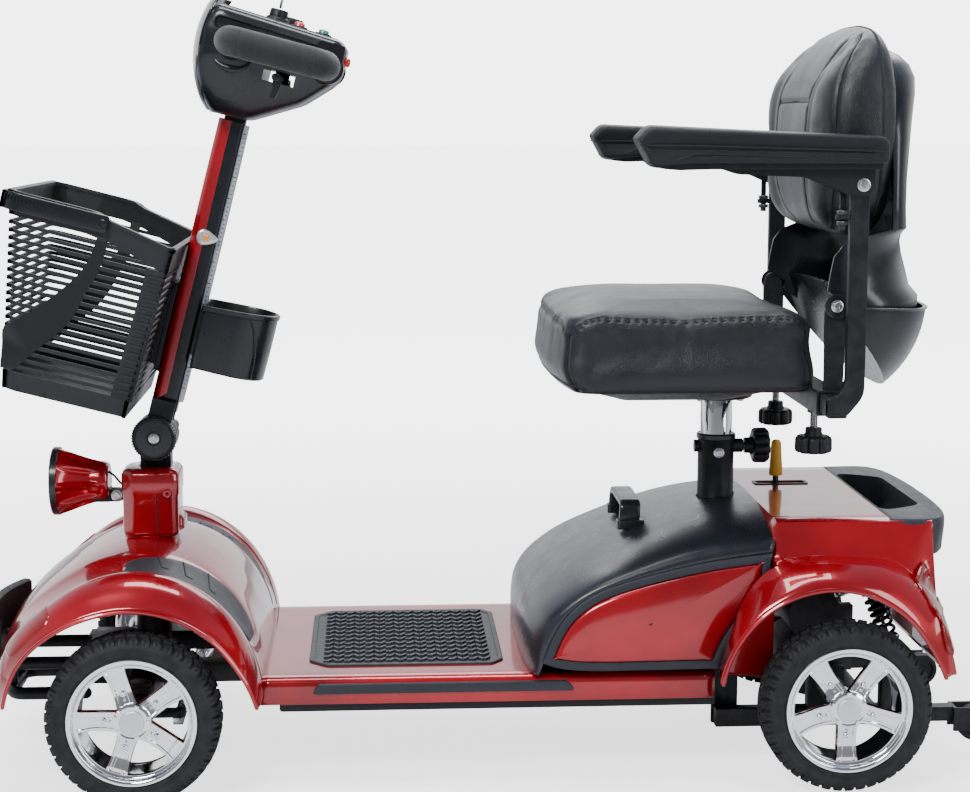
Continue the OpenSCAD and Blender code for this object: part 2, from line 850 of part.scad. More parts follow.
// Tapered block of the basket's outside, offset inwards by t and raised by lift
module basket_form(t, lift) {
    hull() {
        block([basket_u + t, -basket_w / 2 + 18 + t, basket_v + t],
            [basket_front - 38 - t, basket_w / 2 - 18 - t, basket_v + t + 1]);
        block([basket_u + t, -basket_w / 2 + t, basket_top - 1 + lift],
            [basket_front - t, basket_w / 2 - t, basket_top + lift]);
    }
}

module basket() {
    color(black)
    on_tiller()
        difference() {
            basket_form(0, 0);
            basket_form(basket_wall, 2);
            // the rim steps down and slopes behind the handle
            side_plate(-basket_w, basket_w)
                polygon([[basket_u - 1, basket_top + 5], [basket_u - 1, basket_top - 22],
                    [basket_u + 62, basket_top - 8], [basket_u + 74, basket_top + 5]]);
        }
}

module basket_bail() {
    u0 = basket_u + 74;
    color(black)
    on_tiller() {
        both_sides()
            block([u0, basket_w / 2 + 1, basket_top - 14], [basket_front + 3, basket_w / 2 + 6, basket_top - 4]);
        block([basket_front + 3, -basket_w / 2 - 6, basket_top - 14],
            [basket_front + 9, basket_w / 2 + 6, basket_top - 4]);
        both_sides()
            y_rod(u0, basket_top - 9, 5, basket_w / 2 + 1, basket_w / 2 + 6);
    }
}

// Open holder behind the stem
module cup_holder() {
    rear = stem_u - stem_d / 2 - 4;
    color(black)
    on_tiller()
        difference() {
            union() {
                block([rear - 45, -48, 100], [rear - seat_gap, 48, 182]);
                translate([rear - 45, 0, 100])
                    intersection() {
                        cylinder(h = 82, r = 48, $fn = 96);
                        block([-60, -60, 0], [0, 60, 90]);
                    }
            }
            block([rear - 45, -45, 104], [rear - 4, 45, 190]);
            translate([rear - 45, 0, 104])
                intersection() {
                    cylinder(h = 90, r = 45, $fn = 96);
                    block([-60, -60, 0], [1, 60, 90]);
                }
        }
}

// Side outline of the tiller head, offset inwards by t
function head_side(t) = [[26 - t, head_low + t], [44 - t, head_low + 26], [55 - t, head_low + 60],
    [54 - t, head_low + 100], [44 - t, head_top - t], [-112 + t, head_top - 8 - t],
    [-117 + t, head_low + 70], [-80, head_low + 34 + t], [-22, head_low + t]];

module head_shell() {
    color(black)
    on_tiller()
        difference() {
            side_plate(-head_w / 2, head_w / 2)
                polygon(head_side(0));
            side_plate(-head_w / 2 + head_wall, head_w / 2 - head_wall)
                polygon(head_side(head_wall));
            block([stem_u - stem_d / 2 - seat_gap, -stem_w / 2 - seat_gap, head_low - 1],
                [stem_u + stem_d / 2 + seat_gap, stem_w / 2 + seat_gap, head_low + 12]);
            // slots for the throttle lever and holes for the controls
            block([lever_u - 18, -head_w, bar_v - 34], [lever_u + 18, head_w, bar_v - 20]);
            for (p = control_places)
                translate([p[0], p[1], head_top - 20])
                    cylinder(h = 40, r = p[2] + 0.3);
        }
}
// Place across the head's top and radius of the key, the dial, the horn and the light button
control_places = [[-28, 30, 5], [-46, -12, 13], [-56, 42, 7], [-86, 42, 7]];

module on_panel(i) {
    on_tiller()
        translate([control_places[i][0], control_places[i][1], head_top])
            children();
}

module handlebar() {
    y0 = head_w / 2 + seat_gap;
    color(black)
    on_tiller()
        both_sides() {
            bar([bar_front, bar_y, bar_v], [bar_rear, bar_y, bar_v], bar_r);
            for (u = [bar_front, bar_rear])
                bar([u, y0, bar_v], [u, bar_y, bar_v], bar_r - 1.5);
            for (u = [bar_front, bar_rear])
                translate([u, bar_y, bar_v])
                    sphere(r = bar_r + 1);
        }
}

module grips() {
    color(rubber)
    on_tiller()
        both_sides()
            difference() {
                bar([bar_front - 11, bar_y, bar_v], [bar_rear + 11, bar_y, bar_v], grip_r);
                bar([bar_front, bar_y, bar_v], [bar_rear, bar_y, bar_v], bar_r + seat_gap);
            }
}

module throttle_lever() {
    color(black)
    on_tiller() {
        block([lever_u - 4, -bar_y + 8, bar_v - 32], [lever_u + 4, bar_y - 8, bar_v - 22]);
        translate([lever_u, 0, bar_v - 36])
            cylinder(h = 18, r = 9);
        both_sides()
            block([lever_u - 4, head_w / 2 + 22, bar_v - 50], [lever_u + 4, bar_y - 8, bar_v - 22]);
    }
}

module ignition_key() {
    color(steel)
    on_panel(0) {
        translate([0, 0, -15])
            cylinder(h = 17, r = 4.7);
        block([-1.5, -9, 2], [1.5, 9, 24]);
    }
}

module speed_dial() {
    color(black)
    on_panel(1) {
        translate([0, 0, -8])
            cylinder(h = 10, r = 5);
        translate([0, 0, 1])
            cylinder(h = 10, r = 12);
    }
}

module push_button() {
    translate([0, 0, -8])
        cylinder(h = 13, r = 6.6);
}
module horn_button() { color("red") on_panel(2) push_button(); }
module light_button() { color("green") on_panel(3) push_button(); }

// ---- Seat ----

module seat_post() {
    color(steel)
    translate([post_x, 0, rail_low + 90])
        cylinder(h = plate_z - gap - rail_low - 90, r = post_r);
}

// Lobed clamp knob along +Z with its threaded shaft below; shaft is the shaft's length
module star_knob(shaft) {
    cylinder(h = 22, r = 22);
    for (i = [0:7])
        rotate([0, 0, i * 45 + 10])
            translate([20.5, 0, 1])
                cylinder(h = 20, r = 4.5);
    translate([0, 0, -9])
        cylinder(h = 10, r = 11);
    translate([0, 0, -shaft])
        cylinder(h = shaft + 1, r = 5);
}

module post_knob() {
    tip = post_x - post_r - gap;
    face = post_x - 46;
    color(black)
    translate([face, 0, knob_z])
        rotate([0, -90, 0])
            star_knob(tip - face);
}

// Swivel plate, pan and the cross tube that the arm posts slide in
module seat_base() {
    inside = arm_bar / 2 + 0.3;
    color(black)
    difference() {
        union() {
            translate([post_x, 0, plate_z])
                cylinder(h = 10, r = 45);
            block([seat_rear + 25, -seat_w / 2 + 30, pan_low - eps], [seat_front - 30, seat_w / 2 - 30, seat_h - seat_gap]);
            block([cross_x - cross_size / 2, -seat_w / 2 + 12, cross_z - cross_size / 2],
                [cross_x + cross_size / 2, seat_w / 2 - 12, cross_z + cross_size / 2]);
            block([cross_x, -60, pan_low], [seat_rear + 30, 60, cross_z + 10]);
            // ears of the folding back's hinge
            both_sides() {
                block([back_hinge_x - 10, hinge_y - 4, cross_z], [back_hinge_x + 12, hinge_y + 2, back_hinge_z]);
                y_rod(back_hinge_x, back_hinge_z, 13, hinge_y - 4, hinge_y + 2);
            }
        }
        block([cross_x - inside, -seat_w, cross_z - inside], [cross_x + inside, seat_w, cross_z + inside]);
        block([seat_rear + 45, -seat_w / 2 + 34, pan_low + 3], [seat_front - 34, seat_w / 2 - 34, seat_h + 1]);
        both_sides() {
            y_rod(back_hinge_x, back_hinge_z, 6 + run, hinge_y - 10, hinge_y + 10);
            translate([cross_x, arm_knob_y, cross_z - 30])
                cylinder(h = 28, r = 5 + run);
        }
    }
}

// Plain form of the padded seat
module seat_cushion() {
    edge = 22;
    color(black)
        side_plate(-seat_w / 2 + 2, seat_w / 2 - 2)
            polygon([[seat_rear, seat_h], [seat_front - edge, seat_h], [seat_front, seat_h + edge],
                [seat_front, seat_h + seat_thick - 30], [seat_front - 30, seat_h + seat_thick],
                [seat_rear + 30, seat_h + seat_thick], [seat_rear, seat_h + seat_thick - 20]]);
}

module arm_knob(side) {
    face = cross_z - cross_size / 2 - 35;
    color(black)
    translate([cross_x, side * arm_knob_y, face])
        mirror([0, 0, 1])
            star_knob(cross_z - arm_bar / 2 - gap - face);
}
module left_arm_knob() { arm_knob(1); }
module right_arm_knob() { arm_knob(-1); }

// L-shaped post: a tube that slides in the cross tube, and an upright with the armrest's stop bolt
module arm_post() {
    h = arm_bar / 2;
    color(black) {
        difference() {
            union() {
                block([cross_x - h, arm_knob_y - 45, cross_z - h], [cross_x + h, arm_y + 6, cross_z + h]);
                block([post_bar_x - 11, arm_y - 6, cross_z - h], [cross_x + h, arm_y + 6, cross_z + h]);
                block([post_bar_x - 11, arm_y - 6, cross_z - h], [post_bar_x + 11, arm_y + 6, arm_hinge_z]);
                y_rod(post_bar_x, arm_hinge_z, 11, arm_y - 6, arm_y + 6);
                block([post_bar_x + 10, arm_y - 5, arm_hinge_z - 40], [post_bar_x + 26, arm_y + 5, arm_hinge_z - 34]);
                translate([post_bar_x + 19, arm_y, arm_hinge_z - 46])
                    cylinder(h = 52 - seat_gap, r = 4);
            }
            y_rod(arm_hinge_x, arm_hinge_z, 5 + run, arm_y - 10, arm_y + 10);
        }
    }
}
module left_arm_post() { arm_post(); }
module right_arm_post() { mirror([0, 1, 0]) arm_post(); }

// Pad, under-bar and the two cheeks that clasp the post
module armrest() {
    rear = arm_hinge_x - 27;
    front = rear + arm_len;
    pad_low = arm_hinge_z + 22;
    color(black) {
        side_plate(arm_y - 28, arm_y + 28)
            polygon([[rear, pad_low], [rear, pad_low + 30], [rear + 30, pad_low + 34], [front - 12, pad_low + 44],
                [front, pad_low + 36], [front, pad_low + 20], [front - 24, pad_low + 8], [front - 70, pad_low]]);
        for (s = [-1, 1])
            side_plate(arm_y + s * 8.5 - 2, arm_y + s * 8.5 + 2)
                polygon([[arm_hinge_x - 13, arm_hinge_z - 8], [arm_hinge_x - 13, pad_low], [front - 90, pad_low],
                    [front - 110, pad_low - 9], [arm_hinge_x + 60, pad_low - 12], [arm_hinge_x + 12, arm_hinge_z - 8]]);
        y_rod(arm_hinge_x, arm_hinge_z, 5, arm_y - 12, arm_y + 12);
        block([arm_hinge_x + 14, arm_y - 7, pad_low - 16], [arm_hinge_x + 50, arm_y + 7, pad_low]);
    }
}
module left_armrest() { armrest(); }
module right_armrest() { mirror([0, 1, 0]) armrest(); }

// Fixed bowl behind the cushion, round the hinge of the back
module lower_seat_shell() {
    low_end = [back_hinge_x - 26, seat_h - 2];
    outer = concat(arc(back_hinge_x, back_hinge_z, bowl_r, 184, 232), [low_end]);
    inner = concat(arc(back_hinge_x, back_hinge_z, bowl_r - 4, 184, 232), [low_end + [0, 4]]);
    color(black) {
        side_plate(-hinge_y - 6, hinge_y + 6)
            skin(outer, inner);
        both_sides()
            side_plate(hinge_y + 2.1, hinge_y + 6)
                polygon(concat(arc(back_hinge_x, back_hinge_z, bowl_r - 1, 184, 232),
                    [low_end + [0, 2], [back_hinge_x - 10, seat_h + 2], [back_hinge_x - 10, back_hinge_z - 14],
                    [back_hinge_x - 20, back_hinge_z - 6]]));
    }
}

// Folding shell: a curved back panel on a curved foot that turns inside the bowl
module upper_seat_shell() {
    foot_r = bowl_r - 10;
    sag = 42;
    half = back_w / 2 - 2;
    back_r = (half * half + sag * sag) / (2 * sag);
    half_angle = asin(half / back_r);
    back_x = back_hinge_x - 113;
    cheek = hinge_y - 4 - gap;
    color(black)
    difference() {
        union() {
            translate([0, 0, back_hinge_z + 16])
                linear_extrude(back_low + back_h - back_hinge_z - 22)
                    skin(arc(back_x + back_r, 0, back_r, 180 - half_angle, 180 + half_angle),
                        arc(back_x + back_r, 0, back_r - 4, 180 - half_angle, 180 + half_angle));
            side_plate(-cheek, cheek)
                skin(concat(arc(back_hinge_x, back_hinge_z, foot_r, 215, 175), [[back_x, back_hinge_z + 34]]),
                    concat(arc(back_hinge_x, back_hinge_z, foot_r - 4, 215, 175), [[back_x + 4, back_hinge_z + 34]]));
            both_sides()
                side_plate(cheek - 5, cheek)
                    polygon(concat(arc(back_hinge_x, back_hinge_z, foot_r - 1, 215, 175),
                        [[back_x + 3, back_hinge_z + 34], [back_x + 34, back_low + 20],
                        [back_front - 46, back_low + 20], [back_hinge_x + 11, back_hinge_z + 10],
                        [back_hinge_x + 11, back_hinge_z - 11], [back_hinge_x - 11, back_hinge_z - 11]]));
        }
        block([back_front - back_thick + 1, -back_w, back_low - 1], [back_front + 1, back_w, back_low + back_h]);
    }
    color(black)
        both_sides()
            y_rod(back_hinge_x, back_hinge_z, 6, cheek - 1, hinge_y + 2);
}

// Plain form of the padded back
module back_cushion() {
    rear = back_front - 92;
    color(black)
        side_plate(-back_w / 2, back_w / 2)
            polygon([[back_front - 12, back_low], [back_front, back_low + 24],
                [back_front - 8, back_low + back_h - 60], [back_front - 36, back_low + back_h],
                [back_front - 56, back_low + back_h], [rear, back_low + back_h - 36], [rear, back_low]]);
}

main_frame();
front_shroud();
grey_trims();
corner_lenses();
front_bumper();
floor_deck();
floor_mat();
power_pack();
battery_cover();
battery_side_panels();
battery_handle();
rear_shroud();
rear_handle();
swing_frame();
drive_unit();
coil_springs();
anti_tip_wheels();
freewheel_lever();
front_left_tyre();
front_right_tyre();
rear_left_tyre();
rear_right_tyre();
front_left_rim();
front_right_rim();
rear_left_rim();
rear_right_rim();
steering_shaft();
column_cover();
headlight();
left_knuckle();
right_knuckle();
tie_rod();
stem_tube();
stem_cover();
fold_knob();
basket_bracket();
basket();
basket_bail();
cup_holder();
head_shell();
handlebar();
grips();
throttle_lever();
ignition_key();
speed_dial();
horn_button();
light_button();
seat_post();
post_knob();
seat_base();
seat_cushion();
left_arm_knob();
right_arm_knob();
left_arm_post();
right_arm_post();
left_armrest();
right_armrest();
lower_seat_shell();
upper_seat_shell();
back_cushion();
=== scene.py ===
import json
import math
import bpy
import numpy as np
from mathutils import Matrix, Vector
from mathutils.bvhtree import BVHTree

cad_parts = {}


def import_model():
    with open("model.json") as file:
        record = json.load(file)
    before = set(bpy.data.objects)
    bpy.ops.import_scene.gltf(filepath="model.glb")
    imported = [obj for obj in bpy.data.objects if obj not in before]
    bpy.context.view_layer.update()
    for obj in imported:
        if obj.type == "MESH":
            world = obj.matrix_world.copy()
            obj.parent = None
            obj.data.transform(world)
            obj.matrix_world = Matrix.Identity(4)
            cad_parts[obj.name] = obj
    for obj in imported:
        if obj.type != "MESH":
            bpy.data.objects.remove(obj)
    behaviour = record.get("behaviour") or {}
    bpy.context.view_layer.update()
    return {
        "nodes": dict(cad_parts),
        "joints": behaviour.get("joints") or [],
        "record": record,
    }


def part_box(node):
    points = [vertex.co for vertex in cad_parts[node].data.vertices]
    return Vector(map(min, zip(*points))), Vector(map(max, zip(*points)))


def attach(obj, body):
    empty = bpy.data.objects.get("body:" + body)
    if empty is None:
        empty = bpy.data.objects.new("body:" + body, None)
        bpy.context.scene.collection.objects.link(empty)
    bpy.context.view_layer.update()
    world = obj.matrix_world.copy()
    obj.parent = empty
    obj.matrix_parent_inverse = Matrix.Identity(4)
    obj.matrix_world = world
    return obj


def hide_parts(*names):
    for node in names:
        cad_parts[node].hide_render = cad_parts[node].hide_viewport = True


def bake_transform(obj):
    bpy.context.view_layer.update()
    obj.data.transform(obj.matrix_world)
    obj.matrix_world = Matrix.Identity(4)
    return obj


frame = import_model()
NODES = frame["nodes"]
SLOT_OF = {s["node"]: s["material_slot"] for s in frame["record"]["subparts"]}


# ---------------------------------------------------------------- places, in millimetres
def box(node):
    lo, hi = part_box(node)
    return np.array(lo) * 1000, np.array(hi) * 1000


def middle(node):
    lo, hi = box(node)
    return (lo + hi) / 2


FX, _, AZ = middle("front_left_tyre")
RX = middle("rear_left_tyre")[0]
WY = middle("front_left_tyre")[1]
TR = (box("front_left_tyre")[1][2] - box("front_left_tyre")[0][2]) / 2
DECK = box("floor_deck")[1][2]
PX = middle("seat_post")[0]
FOLD = middle("fold_knob")
LEAN = math.asin(-next(j for j in frame["joints"] if j["name"] == "basket_lift")["axis"][0])
SN, CS = math.sin(LEAN), math.cos(LEAN)


def joint_at(name):
    return np.array(next(j for j in frame["joints"] if j["name"] == name)["pos_m"]) * 1000


def tiller(p):
    """Points in the tiller's own frame (forward, left, up the stem) to the row frame."""
    p = np.asarray(p, float)
    out = np.empty_like(p)
    out[..., 0] = FOLD[0] + p[..., 0] * CS - p[..., 2] * SN
    out[..., 1] = p[..., 1]
    out[..., 2] = FOLD[2] + p[..., 0] * SN + p[..., 2] * CS
    return out


# ---------------------------------------------------------------- shapes
class Shape:
    """Vertices in millimetres and faces."""

    def __init__(self, v, f):
        self.v = np.asarray(v, float).reshape(-1, 3)
        self.f = [tuple(int(i) for i in q) for q in f]

    def __add__(self, o):
        n = len(self.v)
        return Shape(np.vstack([self.v, o.v]), self.f + [tuple(i + n for i in q) for q in o.f])

    def moved(self, t):
        return Shape(self.v + np.asarray(t, float), self.f)

    def turned(self, axis, degrees, about=(0, 0, 0)):
        m = np.array(Matrix.Rotation(math.radians(degrees), 3, Vector(axis)))
        a = np.asarray(about, float)
        return Shape((self.v - a) @ m.T + a, self.f)

    def mirrored(self):
        return Shape(self.v * (1, -1, 1), [q[::-1] for q in self.f])

    def both(self):
        return self + self.mirrored()

    def mapped(self, fn):
        return Shape(fn(self.v), self.f)


def total(shapes):
    shapes = list(shapes)
    out = shapes[0]
    for s in shapes[1:]:
        out = out + s
    return out


def grid(g, wrap_u=False, wrap_v=False, cap=False):
    """Quads over a grid of points; cap closes the first and last rows of a wrapped grid."""
    g = np.asarray(g, float)
    nu, nv = g.shape[:2]
    f = []
    for i in range(nu if wrap_u else nu - 1):
        for j in range(nv if wrap_v else nv - 1):
            a, b = i * nv + j, i * nv + (j + 1) % nv
            c, d = ((i + 1) % nu) * nv + (j + 1) % nv, ((i + 1) % nu) * nv + j
            f.append((a, b, c, d))
    v = g.reshape(-1, 3)
    if cap:
        f.append(tuple(range(nv))[::-1])
        f.append(tuple((nu - 1) * nv + j for j in range(nv)))
    return Shape(v, f)


def spline(points, n, closed=False):
    """n points along a smooth curve through the given ones, evenly spaced."""
    p = np.asarray(points, float)
    k = len(p)
    idx = (lambda i: i % k) if closed else (lambda i: min(max(i, 0), k - 1))
    out = []
    steps = 16
    for i in range(k if closed else k - 1):
        p0, p1, p2, p3 = p[idx(i - 1)], p[idx(i)], p[idx(i + 1)], p[idx(i + 2)]
        for s in range(steps):
            t = s / steps
            out.append(0.5 * ((2 * p1) + (p2 - p0) * t + (2 * p0 - 5 * p1 + 4 * p2 - p3) * t * t
                              + (3 * p1 - p0 - 3 * p2 + p3) * t ** 3))
    out.append(p[0] if closed else p[-1])
    out = np.array(out)
    d = np.r_[0, np.cumsum(np.linalg.norm(np.diff(out, axis=0), axis=1))]
    t = np.linspace(0, d[-1], n + 1)[:-1] if closed else np.linspace(0, d[-1], n)
    return np.stack([np.interp(t, d, out[:, c]) for c in range(out.shape[1])], 1)


def table(xs, rows, x):
    """Smooth interpolation between rows of numbers given at xs."""
    xs = np.asarray(xs, float)
    rows = np.asarray(rows, float)
    i = int(np.clip(np.searchsorted(xs, x) - 1, 0, len(xs) - 2))
    t = float(np.clip((x - xs[i]) / (xs[i + 1] - xs[i]), 0, 1))
    m = lambda j: (rows[min(j + 1, len(xs) - 1)] - rows[max(j - 1, 0)]) / (xs[min(j + 1,
        len(xs) - 1)] - xs[max(j - 1, 0)])
    h = xs[i + 1] - xs[i]
    return ((2 * t ** 3 - 3 * t * t + 1) * rows[i] + (t ** 3 - 2 * t * t + t) * h * m(i)
            + (3 * t * t - 2 * t ** 3) * rows[i + 1] + (t ** 3 - t * t) * h * m(i + 1))


def rounded(points, r, n=5):
    """A closed polygon with its corners rounded."""
    p = np.asarray(points, float)
    rs = r if hasattr(r, "__len__") else [r] * len(p)
    out = []
    for i in range(len(p)):
        a, b, c = p[i - 1], p[i], p[(i + 1) % len(p)]
        u, w = (a - b) / np.linalg.norm(a - b), (c - b) / np.linalg.norm(c - b)
        half = math.acos(float(np.clip(u @ w, -1, 1))) / 2
        cut = min(rs[i] / max(math.tan(half), 1e-6), 0.48 * np.linalg.norm(a - b),
                  0.48 * np.linalg.norm(c - b))
        s, e = b + u * cut, b + w * cut
        for k in range(n + 1):
            t = k / n
            out.append((1 - t) ** 2 * s + 2 * t * (1 - t) * b + t * t * e)
    return np.array(out)


# where (a, b) of an outline and a height h go
IN_PLANE = {"xz": lambda a, b, h: (a, h, b), "xy": lambda a, b, h: (a, b, h), "yz": lambda a, b,
            h: (h, a, b)}


def prism(outline, y0, y1, plane="xz"):
    """A closed outline drawn in a plane and extruded along the third axis."""
    o = np.asarray(outline, float)
    rows = [[IN_PLANE[plane](a, b, h) for a, b in o] for h in (y0, y1)]
    return grid(rows, wrap_v=True, cap=True)


def stack(outline, levels, plane="xz", centre=None):
    """Copies of an outline: each level is (height, inset in mm); the corners stay in step. Closed at both ends."""
    o = np.asarray(outline, float)
    c = o.mean(0) if centre is None else np.asarray(centre, float)
    span = np.abs(o - c).max(0)
    rows = []
    for h, inset in levels:
        k = 1 - np.minimum(inset / span, 0.98)
        rows.append([IN_PLANE[plane](a, b, h) for a, b in (o - c) * k + c])
    return grid(rows, wrap_v=True, cap=True)


def brick(lo, hi):
    (a, b, c), (d, e, f) = lo, hi
    return prism([(a, c), (d, c), (d, f), (a, f)], b, e)


def slab(lo, hi, r, plane="xy"):
    """A box whose outline is rounded in one plane."""
    i, j, k = {"xy": (0, 1, 2), "xz": (0, 2, 1), "yz": (1, 2, 0)}[plane]
    o = rounded([(lo[i], lo[j]), (hi[i], lo[j]), (hi[i], hi[j]), (lo[i], hi[j])], r)
    return prism(o, lo[k], hi[k], plane)


def frames(path, closed=False):
    """Tangent and two normals along a path."""
    p = np.asarray(path, float)
    t = np.roll(p, -1, 0) - np.roll(p, 1, 0) if closed else np.gradient(p, axis=0)
    t /= np.linalg.norm(t, axis=1)[:, None]
    a = np.array([0, 0, 1.0]) if abs(t[0][2]) < 0.9 else np.array([1.0, 0, 0])
    n = []
    for v in t:
        a = a - v * (a @ v)
        a /= np.linalg.norm(a)
        n.append(a)
    n = np.array(n)
    return t, n, np.cross(t, n)


def tube(path, r, sides=16, closed=False, ends="round", flat=1.0):
    """A round bar along a path; r may be one number or one for each point."""
    p = np.asarray(path, float)
    rr = np.full(len(p), r, float) if np.isscalar(r) else np.asarray(r, float)
    t, n, b = frames(p, closed)
    if ends == "round" and not closed:
        add = [(math.cos(a), math.sin(a)) for a in np.radians([80, 60, 40, 20])]
        head = [(p[0] - t[0] * rr[0] * s, rr[0] * c) for c, s in add]
        tail = [(p[-1] + t[-1] * rr[-1] * s, rr[-1] * c) for c, s in add[::-1]]
        p = np.vstack([[h[0] for h in head], p, [q[0] for q in tail]])
        rr = np.r_[[max(h[1], .01) for h in head], rr, [max(q[1], .01) for q in tail]]
        n = np.vstack([[n[0]] * 4, n, [n[-1]] * 4])
        b = np.vstack([[b[0]] * 4, b, [b[-1]] * 4])
    a = np.linspace(0, 2 * math.pi, sides, endpoint=False)
    g = p[:, None] + rr[:, None,
                        None] * (np.cos(a)[None, :, None] * n[:, None] + flat * np.sin(a)[None, :,
                            None] * b[:, None])
    return grid(g, wrap_u=closed, wrap_v=True, cap=not closed)


def lathe(profile, at, axis, sides=48, closed=False):
    """A profile of (radius, distance along the axis) turned about the axis."""
    w = np.asarray(axis, float) / np.linalg.norm(axis)
    u = np.cross(w, [0, 0, 1.0] if abs(w[2]) < 0.9 else [1.0, 0, 0])
    u /= np.linalg.norm(u)
    v = np.cross(w, u)
    a = np.linspace(0, 2 * math.pi, sides, endpoint=False)
    ring = np.cos(a)[:, None] * u + np.sin(a)[:, None] * v
    g = [[np.asarray(at, float) + max(r, 0.01) * q + w * h for q in ring] for r, h in profile]
    return grid(g, wrap_u=closed, wrap_v=True, cap=not closed)


def bolt(at, axis, r=5.0, high=3.0, sides=6):
    """A washer, a head with a chamfer, and a socket in it."""
    w = np.asarray(axis, float) / np.linalg.norm(axis)
    at = np.asarray(at, float)
    washer = lathe([(r * 0.5, 0), (r * 1.45, 0), (r * 1.45, 0.8), (r * 1.3, 1.1), (r * 0.5, 1.1)], at, w,
                   24)
    head = lathe([(r * 0.6, 1.0), (r, 1.0), (r, high), (r * 0.86, high + 0.7), (r * 0.5, high + 0.8),
                  (r * 0.44, high - 0.6), (0, high - 0.6)], at, w, 24 if sides == 0 else sides * 4)
    return washer + head


# ---------------------------------------------------------------- objects
def obj(name, shape, smooth=35):
    me = bpy.data.meshes.new(name)
    me.from_pydata((shape.v / 1000).tolist(), [], shape.f)
    me.validate()
    o = bpy.data.objects.new(name, me)
    bpy.context.scene.collection.objects.link(o)
    tidy(o)
    if smooth:
        me.polygons.foreach_set("use_smooth", [True] * len(me.polygons))
        me.set_sharp_from_angle(angle=math.radians(smooth))
    return o


def tidy(o):
    """Merges doubled points and turns the faces outwards."""
    import bmesh
    bm = bmesh.new()
    bm.from_mesh(o.data)
    bmesh.ops.remove_doubles(bm, verts=bm.verts, dist=1e-6)
    bmesh.ops.recalc_face_normals(bm, faces=bm.faces)
    bm.to_mesh(o.data)
    bm.free()


def bevel(o, width, segments=3, angle=32):
    m = o.modifiers.new("bevel", "BEVEL")
    m.width = width / 1000
    m.segments = segments
    m.limit_method = "ANGLE"
    m.angle_limit = math.radians(angle)
    m.harden_normals = True
    m.use_clamp_overlap = True
    return o


def subdivide(o, levels=1):
    m = o.modifiers.new("subdivision", "SUBSURF")
    m.levels = m.render_levels = levels
    return o


def thicken(o, mm, offset=-1):
    m = o.modifiers.new("thickness", "SOLIDIFY")
    m.thickness = mm / 1000
    m.offset = offset
    m.use_even_offset = False
    return o


def cut(o, tool):
    """Takes the tool's shape away from o."""
    t = obj("cutter", tool, 0)
    m = o.modifiers.new("cut", "BOOLEAN")
    m.operation = "DIFFERENCE"
    m.solver = "EXACT"
    m.object = t
    apply(o)
    bpy.data.objects.remove(t)
    return o


def apply(o):
    """Turns what the modifiers show into the mesh itself."""
    dg = bpy.context.evaluated_depsgraph_get()
    me = bpy.data.meshes.new_from_object(o.evaluated_get(dg))
    old = o.data
    o.modifiers.clear()
    o.data = me
    bpy.data.meshes.remove(old)


def put(o, body, material, *nodes, slot=None):
    """Gives a finished object its material and its body, and hides the CAD nodes that it stands for."""
    if material is not None:
        o.data.materials.clear()
        o.data.materials.append(material)
    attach(o, body)
    if nodes:
        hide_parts(*nodes)
    slot = slot or (SLOT_OF[nodes[0]] if nodes else None)
    return o


